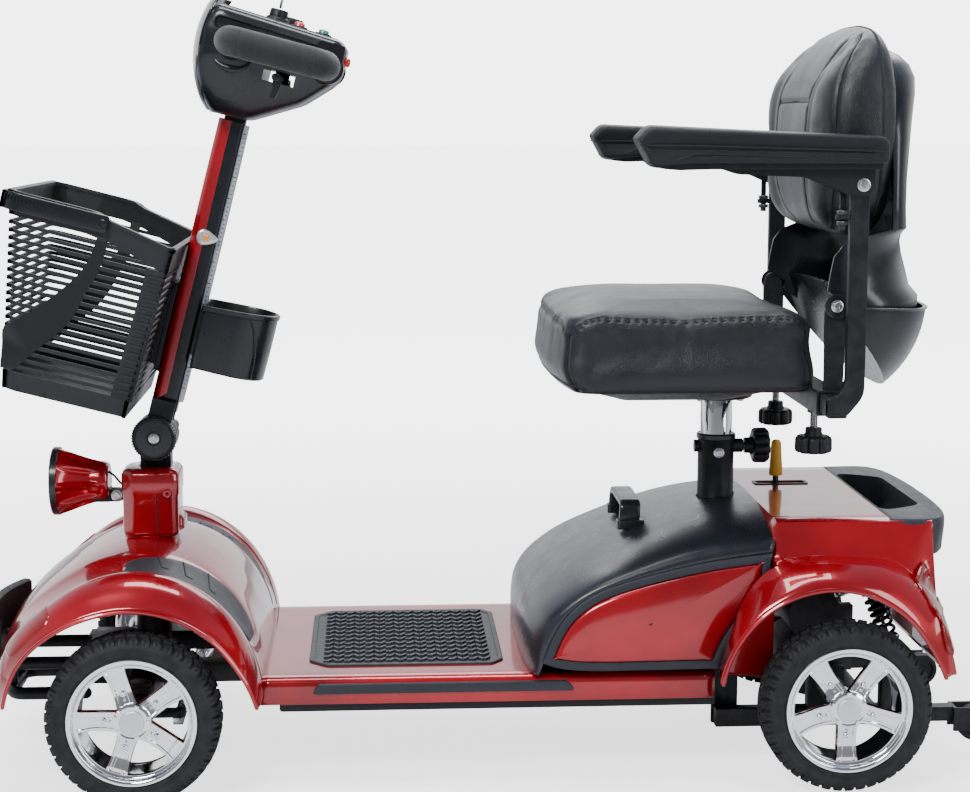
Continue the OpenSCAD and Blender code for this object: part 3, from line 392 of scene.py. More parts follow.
# ---------------------------------------------------------------- materials
def material(name, base, rough=0.5, metal=0.0, coat=0.0, coat_rough=0.05, grain=(900, 0.15), cells=None,
             vary=(14, 0.12), wear=0.0, edge_wear_and_highlight_color=None, sheen=0.0, ior=1.45, clear=0.0, waves=None,
             rough_vary=0.12, dust=0.0, second=None, spec=0.5):
    """A material whose colour, roughness and bump all come from procedural textures in the object's own space."""
    m = bpy.data.materials.new(name)
    m.use_nodes = True
    t = m.node_tree
    n, link = t.nodes, t.links.new
    b = n["Principled BSDF"]
    b.inputs["Metallic"].default_value = metal
    b.inputs["IOR"].default_value = ior
    b.inputs["Specular IOR Level"].default_value = spec
    b.inputs["Coat Weight"].default_value = coat
    b.inputs["Coat Roughness"].default_value = coat_rough
    b.inputs["Sheen Weight"].default_value = sheen
    b.inputs["Transmission Weight"].default_value = clear
    where = n.new("ShaderNodeTexCoord").outputs["Object"]

    def noise(scale, detail=3.0):
        k = n.new("ShaderNodeTexNoise")
        k.inputs["Scale"].default_value = scale
        k.inputs["Detail"].default_value = detail
        link(where, k.inputs["Vector"])
        return k.outputs["Fac"]

    def spread(value, lo, hi):
        k = n.new("ShaderNodeMapRange")
        k.inputs["From Min"].default_value = 0.3
        k.inputs["From Max"].default_value = 0.7
        k.inputs["To Min"].default_value = lo
        k.inputs["To Max"].default_value = hi
        link(value, k.inputs["Value"])
        return k.outputs["Result"]

    def mix(factor, a, c):
        k = n.new("ShaderNodeMix")
        k.data_type = "RGBA"
        for socket, val in ((k.inputs["Factor"], factor), (k.inputs["A"], a), (k.inputs["B"], c)):
            if isinstance(val, (float, int)):
                socket.default_value = val
            elif isinstance(val, tuple):
                socket.default_value = (*val, 1)
            else:
                link(val, socket)
        return k.outputs["Result"]

    dark = tuple(c * (1 - vary[1]) for c in base)
    light = tuple(min(1, c * (1 + vary[1])) for c in base)
    color = mix(spread(noise(vary[0]), 0, 1), dark, second or light)
    if dust:
        color = mix(spread(noise(60, 6), 0, dust), color, (0.25, 0.25, 0.26))
    # paler convex edges (pointiness): edge wear, and a painted highlight on the edges where a material gives its own
    # edge colour
    if wear:
        edge = n.new("ShaderNodeNewGeometry").outputs["Pointiness"]
        ramp = n.new("ShaderNodeMapRange")
        ramp.inputs["From Min"].default_value = 0.53
        ramp.inputs["From Max"].default_value = 0.62
        ramp.inputs["To Max"].default_value = wear
        link(edge, ramp.inputs["Value"])
        color = mix(ramp.outputs["Result"], color,
                    edge_wear_and_highlight_color or tuple(min(1, c * 2.4 + 0.03) for c in base))
    link(color, b.inputs["Base Color"])
    link(spread(noise(vary[0] * 3.1, 5), max(rough - rough_vary / 2, 0.02), rough + rough_vary / 2),
         b.inputs["Roughness"])

    height = None
    for kind, scale, strength in ([("noise", *grain)] if grain else []) + ([("cells", *cells)] if cells
            else []) \
            + ([("waves", *waves)] if waves else []):
        if kind == "noise":
            h = noise(scale, 2.0)
        elif kind == "cells":
            k = n.new("ShaderNodeTexVoronoi")
            k.feature = "DISTANCE_TO_EDGE"
            k.inputs["Scale"].default_value = scale
            link(where, k.inputs["Vector"])
            r = n.new("ShaderNodeMapRange")
            r.inputs["From Max"].default_value = 0.25
            link(k.outputs["Distance"], r.inputs["Value"])
            h = r.outputs["Result"]
        else:
            k = n.new("ShaderNodeTexWave")
            k.inputs["Scale"].default_value = scale
            k.inputs["Distortion"].default_value = 0.4
            link(where, k.inputs["Vector"])
            h = k.outputs["Fac"]
        u = n.new("ShaderNodeBump")
        u.inputs["Strength"].default_value = strength
        u.inputs["Distance"].default_value = 0.0006
        link(h, u.inputs["Height"])
        if height is not None:
            link(height, u.inputs["Normal"])
        height = u.outputs["Normal"]
    if height is not None:
        link(height, b.inputs["Normal"])
    m.diffuse_color = (*base, 1)
    return m


# brighter red on the convex edges: a painted highlight
RED = material("candy_red", (0.24, 0.001, 0.006), 0.22, metal=0.3, coat=1.0, coat_rough=0.02,
               grain=(5200, 0.02),
               vary=(7, 0.2), second=(0.42, 0.002, 0.01), rough_vary=0.08, wear=0.06,
               edge_wear_and_highlight_color=(0.5, 0.01, 0.02), spec=0.3)
GREY = material("grained_grey", (0.02, 0.022, 0.029), 0.42, grain=(2600, 0.22), cells=(1100, 0.12),
                vary=(30, 0.1), wear=0.25, spec=0.3)
COVER = material("cover_plastic", (0.012, 0.014, 0.02), 0.3, grain=(3000, 0.1), cells=(1400, 0.08),
                 vary=(12, 0.16),
                 coat=0.25, coat_rough=0.2, wear=0.25, spec=0.4)
BLACK = material("moulded_black", (0.006, 0.007, 0.009), 0.4, grain=(2400, 0.2), cells=(1000, 0.1),
                 vary=(26, 0.15), wear=0.3, spec=0.3)
SATIN = material("satin_black", (0.005, 0.006, 0.009), 0.3, grain=(1800, 0.06), vary=(16, 0.15), coat=0.3,
                 coat_rough=0.15, wear=0.3, spec=0.35)
POWDER = material("powder_coat", (0.005, 0.0055, 0.007), 0.36, metal=0.1, grain=(3200, 0.3), vary=(40, 0.2),
                  wear=0.45, dust=0.05, spec=0.3)
CHROME = material("chrome", (0.86, 0.87, 0.9), 0.07, metal=1.0, grain=(700, 0.015), vary=(20, 0.03),
                  rough_vary=0.05)
FROST = material("frosted_cap", (0.72, 0.73, 0.76), 0.42, metal=0.85, grain=(4200, 0.25), vary=(30, 0.05))
STEEL = material("zinc_steel", (0.55, 0.56, 0.58), 0.28, metal=1.0, grain=(1500, 0.12), vary=(60, 0.12),
                 wear=0.2)
DARKSTEEL = material("dark_steel", (0.03, 0.031, 0.036), 0.34, metal=0.8, grain=(1500, 0.2), vary=(60, 0.2),
                    wear=0.4)
TYRE = material("tyre_rubber", (0.007, 0.0075, 0.009), 0.62, grain=(1600, 0.35), vary=(50, 0.25), dust=0.05,
                wear=0.2, spec=0.3)
RUBBER = material("rubber", (0.008, 0.009, 0.011), 0.55, grain=(1500, 0.3), vary=(40, 0.15), wear=0.2,
                  spec=0.3)
MAT = material("mat_rubber", (0.022, 0.025, 0.03), 0.5, grain=(1800, 0.3), vary=(50, 0.14), wear=0.3,
               spec=0.35)
FOAM = material("grip_foam", (0.014, 0.015, 0.018), 0.72, grain=(2600, 0.6), cells=(1700, 0.25),
                vary=(40, 0.14), sheen=0.3, spec=0.2)
LEATHER = material("leather", (0.005, 0.006, 0.01), 0.36, grain=(140, 0.22), cells=(620, 0.3),
                   vary=(9, 0.22), sheen=0.05,
                   coat=0.12, coat_rough=0.3, wear=0.15, rough_vary=0.12, spec=0.4)
ARMPAD = material("armrest_skin", (0.008, 0.009, 0.012), 0.46, grain=(900, 0.25), cells=(900, 0.25),
                  vary=(14, 0.16), wear=0.2, spec=0.3)
# pale blue-grey on the convex edges: a painted highlight
GLOSS = material("gloss_black", (0.006, 0.008, 0.014), 0.12, coat=1.0, coat_rough=0.03, grain=(900, 0.02),
                 vary=(9, 0.2), wear=0.3,
                 edge_wear_and_highlight_color=(0.25, 0.33, 0.42))
THREAD = material("thread", (0.01, 0.011, 0.014), 0.6, grain=(3000, 0.6), waves=(900, 0.6), vary=(80, 0.3))
CAST = material("cast_metal", (0.035, 0.036, 0.04), 0.5, metal=0.6, grain=(900, 0.6), vary=(50, 0.25),
                wear=0.4, dust=0.08)
LENS = material("smoked_lens", (0.2, 0.008, 0.008), 0.14, coat=1.0, grain=(900, 0.05), vary=(30, 0.2),
                spec=0.3)
GLASS = material("clear_lens", (0.85, 0.86, 0.9), 0.05, coat=0.5, clear=0.8, grain=(300, 0.1),
                 waves=(120, 0.5), vary=(30, 0.04))
SILVER = material("silvered", (0.6, 0.61, 0.63), 0.25, metal=0.6, coat=0.6, grain=(900, 0.1),
                  vary=(60, 0.1))
AMBER = material("amber", (0.85, 0.3, 0.02), 0.2, coat=0.8, grain=(900, 0.1), cells=(500, 0.4),
                 vary=(50, 0.15))
YELLOW = material("yellow_grip", (0.62, 0.33, 0.012), 0.35, coat=0.2, grain=(1500, 0.2), vary=(40, 0.14))
GREEN = material("green_button", (0.01, 0.2, 0.14), 0.25, coat=0.5, grain=(1500, 0.1), vary=(80, 0.15))
SCARLET = material("red_button", (0.6, 0.015, 0.012), 0.25, coat=0.5, grain=(1500, 0.1), vary=(80, 0.15))
STRIP = material("pale_strip", (0.42, 0.44, 0.5), 0.35, metal=0.3, grain=(1500, 0.15), vary=(40, 0.08))
CASE = material("battery_case", (0.09, 0.1, 0.14), 0.45, grain=(1500, 0.2), vary=(30, 0.15))
BY_SLOT = {"black_paint": POWDER, "red_paint": RED, "grey_plastic": GREY, "black_plastic": BLACK,
           "lens": LENS,
           "bumper_rubber": RUBBER, "mat_rubber": MAT, "battery_case": CASE, "bright_steel": STEEL,
           "chrome": CHROME,
           "tyre": TYRE, "foam": FOAM, "leather": LEATHER, "cast": CAST, "horn_red": SCARLET,
           "light_green": GREEN}


def dress(node, material=None, soften=1.2):
    """A CAD node whose shape is right keeps it, with softened edges and a finished material."""
    o = NODES[node]
    m = material or BY_SLOT[SLOT_OF[node]]
    if not o.material_slots:
        o.data.materials.append(m)
    for s in o.material_slots:
        s.material = m
    o.data.polygons.foreach_set("use_smooth", [True] * len(o.data.polygons))
    w = o.modifiers.new("weld", "WELD")
    w.merge_threshold = 0.00001
    if soften:
        bevel(o, soften, 2, 35)


for n_ in NODES:
    dress(n_)


# ---------------------------------------------------------------- wheels
def tyre_shape():
    """A tyre about the Y axis with blocks cut into its shoulders and crown."""
    half = (box("front_left_tyre")[1][1] - box("front_left_tyre")[0][1]) / 2
    rim = (box("front_left_rim")[1][2] - box("front_left_rim")[0][2]) / 2
    side = spline([(-half + 3.5, rim - 1), (-half + 1.5, rim + 3), (-half + 2, rim + 6),
                   (-half + 0.3, rim + 12),
                   (-half + 0.6, TR - 12), (-half + 4, TR - 5), (-half + 10, TR - 1.6),
                   (-half * 0.45, TR - 0.3)], 34)
    crown = np.array([(y, TR - 0.0006 * y * y * 0.4) for y in np.linspace(-half * 0.42, half * 0.42, 25)])
    prof = np.vstack([side, crown, (side * (-1, 1))[::-1]])
    n = 720
    g = []
    lug = 45
    for i in range(n):
        a = 2 * math.pi * i / n
        row = []
        for y, r in prof:
            depth = 0.0
            s = abs(y) / half
            if r > TR - 9.5:
                shift = 0.5 if y > 0 else 0.0
                p = (i / n * lug + shift - (0.55 * s if s < 0.8 else 0.44)) % 1
                q = (i / n * lug * 2 + shift - 0.3 * s) % 1
                if s > 0.55:
                    depth = 3.4 if p < 0.3 else 0.0
                    if 0.62 < p < 0.72 and s > 0.72:
                        depth = 1.6
                elif s > 0.47:
                    depth = 3.2
                elif s > 0.07:
                    depth = 3.0 if p < 0.22 else (1.8 if 0.5 < q < 0.62 and s < 0.3 else 0.0)
                else:
                    depth = 2.6
                if r < TR - 6.5:
                    depth *= max(0.0, (r - TR + 9.5) / 3)
            if rim + 7 < r < rim + 9.5:
                depth = -0.5
            rr = r - depth
            row.append((rr * math.cos(a), y, rr * math.sin(a)))
        g.append(row)
    return grid(g, wrap_u=True)


def rim_shape():
    """Barrel with polished lips, five grooved spokes with bolts, and a notched hub; the outer face is towards +Y."""
    lo, hi = box("front_left_rim")
    r = (hi[2] - lo[2]) / 2
    half = (box("front_left_tyre")[1][1] - box("front_left_tyre")[0][1]) / 2
    o = half - 0.5
    lip = [(r - 13, -half + 3), (r - 2, -half + 2), (r, -half + 4), (r - 3, -half + 8), (r - 9, -half + 12),
           (r - 9, o - 15),
           (r - 4, o - 8), (r - 0.6, o - 3), (r - 0.8, o - 0.6), (r - 2.4, o), (r - 5.2, o - 0.4),
           (r - 7, o - 1.8),
           (r - 7.6, o - 5), (r - 9, o - 7.5), (r - 11.5, o - 8.6), (r - 12.5, o - 12),
           (r - 12.5, -half + 8)]
    prof = spline(lip, 60, closed=True)
    out = lathe(prof, (0, 0, 0), (0, 1, 0), 144, closed=True)
    spoke_rows = []
    for s in np.linspace(0, 1, 16):
        d = 17 + (r - 12 - 17) * s
        w = 10.2 + 2.0 * s + 2.6 * (1 - s) ** 4 + 1.6 * s ** 6
        y0 = o - 8 - 4.5 * math.sin(math.pi * min(s * 1.1, 1)) - 1.0 * s
        rib = 2.2
        sec = [(-w, -9), (-w, -1.2), (-w + 0.8, 0), (-w + 3.4, 0), (-w + 4.2, -rib), (-w + 6.8, -rib),
               (-w + 7.4, -rib + 0.9),
               (w - 7.4, -rib + 0.9), (w - 6.8, -rib), (w - 4.2, -rib), (w - 3.4, 0), (w - 0.8, 0),
               (w, -1.2), (w, -9)]
        spoke_rows.append([(d, y0 + h, c) for c, h in sec])
    spoke = grid(spoke_rows, wrap_v=True, cap=True)
    rivet = bolt((34, o - 12.5, 0), (0, 1, 0), 2.4, 2.4, 0) + bolt((27, o - 11.6, 0), (0, 1, 0), 1.1,
        1.4, 0)
    out = out + total((spoke + rivet).turned((0, 1, 0), 72 * k) for k in range(5))
    hub = lathe([(0, o - 16), (21.5, o - 16), (22.5, o - 8), (21.8, o - 5), (19, o - 3.6), (17.2, o - 4.4),
                 (16, o - 4.4), (0, o - 4.4)],
                (0, 0, 0), (0, 1, 0), 72)
    boss = lathe([(0, -half + 4), (16, -half + 4), (16, o - 16), (0, o - 16)], (0, 0, 0), (0, 1, 0), 40)
    clip = brick((16.5, o - 6.4, -2.6), (21.2, o - 2.8, 2.6))
    return out + hub + boss + total(clip.turned((0, 1, 0), 72 * k + 36) for k in range(5))


def cap_shape():
    half = (box("front_left_tyre")[1][1] - box("front_left_tyre")[0][1]) / 2
    o = half - 0.5
    return lathe([(0, o - 6), (14.6, o - 6), (14.6, o - 2.2), (13.8, o - 1.2), (12.4, o - 0.9),
                  (0, o - 0.7)], (0, 0, 0), (0, 1, 0), 64)


tyre_mesh, rim_mesh, cap_mesh = tyre_shape(), rim_shape(), cap_shape()
for where_, x_, phase_ in (("front", FX, 0), ("rear", RX, 18)):
    for side_, s_ in (("left", 1), ("right", -1)):
        body_ = f"{where_}_{side_}_wheel"
        for part_, mesh_, mat_ in (("tyre", tyre_mesh, TYRE), ("rim", rim_mesh, CHROME),
                ("hub_cap", cap_mesh, FROST)):
            shape_ = mesh_ if s_ > 0 else Shape(mesh_.v * (1, -1, 1), [q[::-1] for q in mesh_.f])
            shape_ = shape_.turned((0, 1, 0), phase_) if part_ == "rim" else shape_
            o_ = obj(f"{where_}_{side_}_{part_}_surface", shape_.moved((x_, s_ * WY, AZ)), 40)
            if part_ == "hub_cap":
                put(o_, body_, mat_, slot="chrome")
            else:
                put(o_, body_, mat_, f"{where_}_{side_}_{part_}")


# ---------------------------------------------------------------- front shroud
HOOD_Y = [0, 55, 104, 124, 150, 171, 184, 202, 221, 234, 242]
HOOD_A = [8, 30, 50, 70, 90, 110, 130, 150, 165, 174]
HOOD_R = [[184, 184, 181, 178, 176, 172, 170, 167, 161, 154, 150],
          [183, 182, 178, 174, 170, 167, 168, 168, 161, 152, 147],
          [175, 174, 170, 165, 160, 158, 162, 163, 156, 146, 139.5],
          [174, 173, 169, 163, 158, 157, 163, 165, 156, 142, 134],
          [174, 173, 169, 163, 158, 158, 165, 167, 157, 141, 132.5],
          [171, 170, 167, 162, 157, 157, 163, 165, 156, 141, 132.5],
          [166, 165, 163, 158, 154, 154, 159, 160, 152, 140, 134],
          [158, 157, 156, 153, 150, 150, 153, 154, 149, 141, 136.5],
          [152.5, 152, 151, 150, 149, 149, 150, 151, 149, 145, 142],
          [149, 149, 149, 149, 149, 149, 149, 149, 149, 148, 146]]


def hood(a, y, lift=0.0):
    """A point on the hood at an angle about the front axle and a distance from the middle."""
    row = table(HOOD_A, HOOD_R, a)
    r = float(table(HOOD_Y, row[:, None], abs(y))[0]) + lift
    t = math.radians(a)
    return (FX + r * math.cos(t), y, AZ + r * math.sin(t))


ys = np.r_[np.linspace(0, 100, 9), np.linspace(104, 186, 22)[0:], np.linspace(190, 242, 16)]
ys = np.r_[-ys[::-1], ys[1:]]
angles = np.linspace(8, 174, 72)
skin = obj("front_hood", grid([[hood(a, y) for y in ys] for a in angles]), 60)
thicken(skin, 3.0)
apply(skin)
cut(skin, lathe([(0, 0), (30, 0), (30, 400), (0, 400)], (FX + 1, 0, 0), (0, 0, 1), 48))
put(skin, "chassis", RED, "front_shroud")
lips = total(tube([hood(a, s * 242, -1.5) for a in np.linspace(8, 174, 60)], 2.6, 10) for s in (-1, 1))
put(obj("front_arch_lips", lips), "chassis", RED, slot="red_paint")


def hood_patch(a0, a1, y0, y1, power, lift, s=1, na=34, ny=12):
    """A rounded patch that lies on the hood; its rim sinks into it."""
    rows = []
    for i in range(na + 1):
        t = -1 + 2 * i / na
        t = math.copysign(abs(math.sin(t * math.pi / 2)), t)
        w = max(1 - abs(t) ** power, 0.0) ** (1 / power)
        row = []
        for j in range(ny + 1):
            u = -1 + 2 * j / ny
            u = math.copysign(abs(math.sin(u * math.pi / 2)), u)
            edge = 1 - max(abs(t), abs(u)) ** 14
            y = (y0 + y1) / 2 + (y1 - y0) / 2 * u * max(w, 0.02)
            row.append(hood((a0 + a1) / 2 + (a1 - a0) / 2 * t, s * y, lift * edge - 0.9 * (1 - edge)))
        rows.append(row)
    return grid(rows)


for side_, s_ in (("left", 1), ("right", -1)):
    put(obj(f"{side_}_fender_inlay", hood_patch(83, 153, 109, 175, 3.2, 1.6, s_), 60), "chassis", GREY,
        slot="grey_plastic")
    lens_ = obj(f"{side_}_front_lens", hood_patch(27, 53, 190, 232, 3.6, 1.5, s_), 60)
    put(lens_, "chassis", LENS, slot="lens")
    hooks_ = []
    for a_, w_ in ((97, 0.7), (107.5, 0.85), (119, 0.95)):
        path_ = [hood(a_ + 0.10 * (y_ - 113), s_ * y_, 1.5) for y_ in np.linspace(113, 113 + 36 * w_, 9)]
        end_ = 113 + 36 * w_
        path_ += [hood(a_ + 3.6 * w_ + d_, s_ * (end_ + 1.2), 1.5) for d_ in (0.9, 1.8, 2.8)]
        hooks_.append(tube(path_, 0.95, 8))
    put(obj(f"{side_}_inlay_grooves", total(hooks_)), "chassis", RUBBER, slot="black_plastic")
    seam_ = tube([hood(a_, s_ * 180, 0.1) for a_ in np.linspace(30, 168, 60)], 0.5, 6)
    put(obj(f"{side_}_hood_seam", seam_), "chassis", RUBBER, slot="black_plastic")

# collar where the head tube leaves the hood
top_ = hood(90, 0)[2]
collar = lathe([(27, top_ - 14), (33, top_ - 5), (34, top_ - 1), (31.5, top_ + 1.2), (28.5, top_ - 2),
                (26, top_ - 12)],
               (FX + 1, 0, 0), (0, 0, 1), 64, closed=True)
ribs_ = total(brick((26.0, -2, top_ - 22), (28.5, 2, top_ + 8)).turned((0, 0, 1), k * 24)
              for k in range(15)).moved((FX + 1, 0, 0))
put(obj("neck_collar", collar), "chassis", RED, slot="red_paint")
put(bevel(obj("neck_ribs", ribs_), 0.6), "chassis", BLACK, slot="black_plastic")

# ---------------------------------------------------------------- column cover, lamp and fold joint
lo_, hi_ = box("column_cover")
cx_ = (lo_[0] + hi_[0]) / 2
shape_ = rounded([(lo_[0], -30), (lo_[0] + 8, -34), (hi_[0] - 14, -34), (hi_[0], -22), (hi_[0], 22),
                  (hi_[0] - 14, 34),
                  (lo_[0] + 8, 34), (lo_[0], 30)], 7)
col = stack(shape_, [(lo_[2], 5), (lo_[2] + 2, 1.5), (lo_[2] + 6, 0), (lo_[2] + 52, 0), (lo_[2] + 55, -1.2),
                    (hi_[2] - 8, -1.2),
                     (hi_[2] - 3, 1), (hi_[2], 6)], "xy")
lump = stack(rounded([(lo_[0] - 6, -22), (lo_[0] + 22, -22), (lo_[0] + 22, 22), (lo_[0] - 6, 22)], 9),
             [(lo_[2] + 4, 5), (lo_[2] + 8, 0), (lo_[2] + 20, 0), (lo_[2] + 30, 9)], "xy")
put(obj("column_shell", col + lump, 50), "steering", RED, "column_cover")
boss_ = total(lathe([(5.5, 33), (5.5, 37), (4.4, 38), (2.6, 38), (2.2, 35), (0, 35)], (x_, 0, z_),
                    (0, s_, 0), 28)
              for s_ in (-1, 1) for x_, z_ in ((lo_[0] + 13, hi_[2] - 30),))
edges_ = total(tube([(cx_ - 8, s_ * 34.2, z_) for z_ in np.linspace(lo_[2] + 5, hi_[2] - 4, 9)], 0.7, 6)
               for s_ in (-1, 1))
put(obj("column_screws", boss_), "steering", RED, slot="red_paint")
put(obj("column_seam", edges_), "steering", RUBBER, slot="black_plastic")

lo_, hi_ = box("headlight")
LZ, LX = (lo_[2] + hi_[2]) / 2, hi_[0]
LR = (hi_[2] - lo_[2]) / 2
rows_ = []
for h_, r_ in spline([(-70, 17), (-69, 22), (-60, 25.5), (-46, 29), (-34, 33), (-22, 37.5), (-12, 41),
        (-7, LR)], 44):
    ring_ = []
    for k_ in range(144):
        a_ = 2 * math.pi * k_ / 144
        groove_ = max(0.0, math.cos(a_ * 9)) ** 3
        fade_ = math.exp(-((h_ + 32) / 24) ** 4)
        rr_ = r_ - 5.2 * fade_ * (1 - groove_) * min(1, (h_ + 70) / 10)
        ring_.append((LX + h_, rr_ * math.cos(a_), LZ + rr_ * math.sin(a_)))
    rows_.append(ring_)
lamp = grid(rows_, wrap_v=True, cap=True)
put(obj("lamp_housing", lamp, 50), "lamp", RED, "headlight")
bezel = lathe([(LR - 5, -9), (LR, -8.5), (LR + 0.1, -1.6), (LR - 1.2, 0), (LR - 4.2, 0), (LR - 5.2, -2)],
              (LX, 0, LZ), (1, 0, 0), 96, closed=True)
put(obj("lamp_bezel", bezel), "lamp", SATIN, slot="black_plastic")
glass = lathe([(LR - 5, -4), (LR - 5.5, -2.2), (LR - 20, -0.8), (0, -0.4), (0, -3), (LR - 20, -4)],
              (LX, 0, LZ), (1, 0, 0), 96, closed=True)
put(obj("lamp_glass", glass), "lamp", GLASS, slot="lens")
bowl = lathe([(LR - 6, -6), (LR - 10, -14), (20, -30), (8, -38), (0, -38)], (LX, 0, LZ), (1, 0, 0), 72)
put(obj("lamp_reflector", bowl), "lamp", SILVER, slot="chrome")
tilt = joint_at("headlight_tilt")
ears = slab((tilt[0] - 8, 4.4, tilt[2] - 8), (LX - 52, 8, tilt[2] + 8), 7, "xz").both()
hub_ = bolt((tilt[0], 8, tilt[2]), (0, 1, 0), 5, 3) + bolt((tilt[0], -8, tilt[2]), (0, -1, 0), 5, 3)
back_ = slab((LX - 72, -10, LZ - 26), (LX - 50, 10, LZ - 8), 4, "xz")
put(bevel(obj("lamp_ears", ears + back_), 0.6), "lamp", BLACK, slot="black_plastic")
put(obj("lamp_bolts", hub_), "lamp", STEEL, slot="bright_steel")
lead = tube(spline([(LX - 70, 6, LZ + 12), (LX - 77, 8, LZ + 7), (LX - 84, 7, LZ - 2),
                    (FX + 32, 8, LZ - 5)], 20), 1.5, 10)
put(obj("lamp_lead", lead), "steering", RUBBER, slot="black_plastic")

pivot = joint_at("tiller_tilt")
marks_ = []
for s_ in (-1, 1):
    face_ = s_ * 22
    if s_ > 0:
        marks_.append(bolt((pivot[0], face_, pivot[2]), (0, 1, 0), 5.2, 3.2, 0))
    arc_ = [(pivot[0] + 22 * math.cos(a_), face_, pivot[2] + 22 * math.sin(a_))
            for a_ in np.radians(np.linspace(95, 205, 20))]
    marks_.append(tube(arc_, 0.8, 6))
put(obj("fold_bolts", total(marks_)), "tiller", STEEL, slot="bright_steel")


# ---------------------------------------------------------------- battery cover
NOSE = box("battery_cover")[1][0]
BOX_TOP = box("battery_cover")[1][2]
CX = PX + 252 - NOSE
CROWN = [(-43, 133), (-42, 152), (-42, 172), (-45, 192), (-57, 212), (-80, 231), (-110, 250), (-150, 270),
         (-200, 292), (-250, 308),
         (-300, 316.5), (-347, 318)]
SHOULDER = [(-58, 183, 133), (-62, 187, 145), (-66, 188, 160), (-74, 188.5, 180), (-86, 189, 201),
            (-103, 189, 219), (-128, 189, 235),
            (-164, 189, 248), (-210, 189, 260), (-258, 188.5, 270), (-300, 188, 276), (-337, 187, 280)]
centre_ = spline([(x_ - CX, z_) for x_, z_ in CROWN], 60)
edge_ = spline([(x_ - CX, y_, z_) for x_, y_, z_ in SHOULDER], 60)
rows_ = []
for c_, e_ in zip(centre_, edge_):
    row_ = []
    for t_ in np.linspace(-1, 1, 61):
        k_ = abs(t_)
        a_ = k_ * math.pi / 2
        y_ = math.copysign(e_[1] * math.sin(a_) ** 0.92 if k_ else 0, t_)
        f_ = 1 - math.cos(a_) ** 0.72
        f_ = 0.3 * k_ ** 2.2 + 0.7 * f_
        row_.append((c_[0] + (e_[0] - c_[0]) * f_, y_, c_[1] + (e_[2] - c_[1]) * f_))
    rows_.append(row_)
cover = obj("battery_cover_shell", grid(rows_), 50)
thicken(cover, 3.0)
apply(cover)
cut(cover, lathe([(0, 200), (24.5, 200), (24.5, 400), (0, 400)], (PX, 0, 0), (0, 0, 1), 48))
put(cover, "chassis", COVER, "battery_cover")

# side: a dark frame round a red panel that swells outwards
back_edge = [(-337, 280), (-334, 262), (-337, 240), (-330, 224), (-314, 206), (-300, 190), (-288, 172),
             (-279, 152), (-274, 140)]
bottom_edge = [(-274, 140), (-230, 139.5), (-180, 139), (-130, 139), (-100, 140.5), (-78, 144), (-62, 150)]
top_edge = [(x_, z_) for x_, _, z_ in SHOULDER[2:]]
loop_ = np.vstack([spline(back_edge, 26)[:-1], spline(bottom_edge, 40)[:-1],
                   spline([(-62, 150)] + top_edge, 70)[:-1]])
loop_[:, 0] -= CX
hub_ = np.array([-190 - CX, 198])


def inset_loop(p, d):
    """The closed line of points, moved inwards by d."""
    t = np.roll(p, -1, 0) - np.roll(p, 1, 0)
    t /= np.linalg.norm(t, axis=1)[:, None]
    n = np.stack([-t[:, 1], t[:, 0]], 1)
    if ((hub_ - p) * n).sum() < 0:
        n = -n
    q = p + n * d
    for _ in range(3):
        q = 0.25 * np.roll(q, 1, 0) + 0.5 * q + 0.25 * np.roll(q, -1, 0)
    return q


def side_band(loops, s):
    """Rings of (line of points, distance from the middle)."""
    return grid([[(x, s * y, z) for x, z in p] for p, y in loops], wrap_v=True)


for side_, s_ in (("left", 1), ("right", -1)):
    frame_ = side_band([(loop_, 184), (loop_, 188.5), (inset_loop(loop_, 1.2), 189.8),
                        (inset_loop(loop_, 9), 190.2),
                        (inset_loop(loop_, 10.5), 189.4), (inset_loop(loop_, 11.5), 186)], s_)
    put(obj(f"{side_}_panel_frame", frame_, 50), "chassis", GREY, slot="grey_plastic")
    inner_ = inset_loop(loop_, 11)
    levels_ = [(1, 186.5), (0.992, 189.5), (0.97, 191.0), (0.92, 192.6), (0.8, 194.4), (0.6, 196),
               (0.4, 197), (0.2, 197.4), (0.02, 197.5)]
    panel_ = side_band([(hub_ + (inner_ - hub_) * k_, y_) for k_, y_ in levels_], s_)
    o_ = obj(f"{side_}_side_panel", panel_, 60)
    if s_ > 0:
        put(o_, "chassis", RED, "battery_side_panels")
    else:
        put(o_, "chassis", RED, slot="red_paint")

# charging socket with its pins
sz_ = (box("battery_cover")[0][2]) + 38
socket = lathe([(8.2, -14), (8.2, 2), (9.4, 3), (13, 3), (14.5, 1.5), (15, -3), (12, -12)],
               (NOSE - 3, 0, sz_), (1, 0, 0), 48, closed=True)
put(obj("charging_socket", socket), "chassis", BLACK, slot="black_plastic")
pins_ = total(lathe([(0, -12), (1.6, -12), (1.6, -2), (0, -1.4)],
                    (NOSE - 3, 4 * math.cos(a_), sz_ + 4 * math.sin(a_)), (1, 0, 0), 14)
              for a_ in np.radians([90, 210, 330]))
put(obj("socket_pins", pins_), "chassis", STEEL, slot="bright_steel")

# carry handle
lo_, hi_ = box("battery_handle")
hx_, hw_ = (lo_[0] + hi_[0]) / 2, (hi_[1] - lo_[1]) / 2
path_ = spline([(hx_ + 2, -hw_ + 7, lo_[2] - 6), (hx_ + 1, -hw_ + 6, lo_[2] + 12),
                (hx_, -hw_ + 14, hi_[2] - 6), (hx_, 0, hi_[2] - 4.5),
                (hx_, hw_ - 14, hi_[2] - 6), (hx_ + 1, hw_ - 6, lo_[2] + 12),
                (hx_ + 2, hw_ - 7, lo_[2] - 6)], 48)
t_, n_, b_ = frames(path_)
rows_ = []
for p_, q_ in zip(path_, t_):
    across_ = np.array([1.0, 0, 0])
    out_ = np.cross(q_, across_)
    sec_ = rounded([(-13, -5), (13, -5), (13, 5), (-13, 5)], 3.4, 3)
    rows_.append([p_ + across_ * a_ + out_ * c_ for a_, c_ in sec_])
put(obj("battery_carry_handle", grid(rows_, wrap_v=True, cap=True), 40), "chassis", SATIN, "battery_handle")
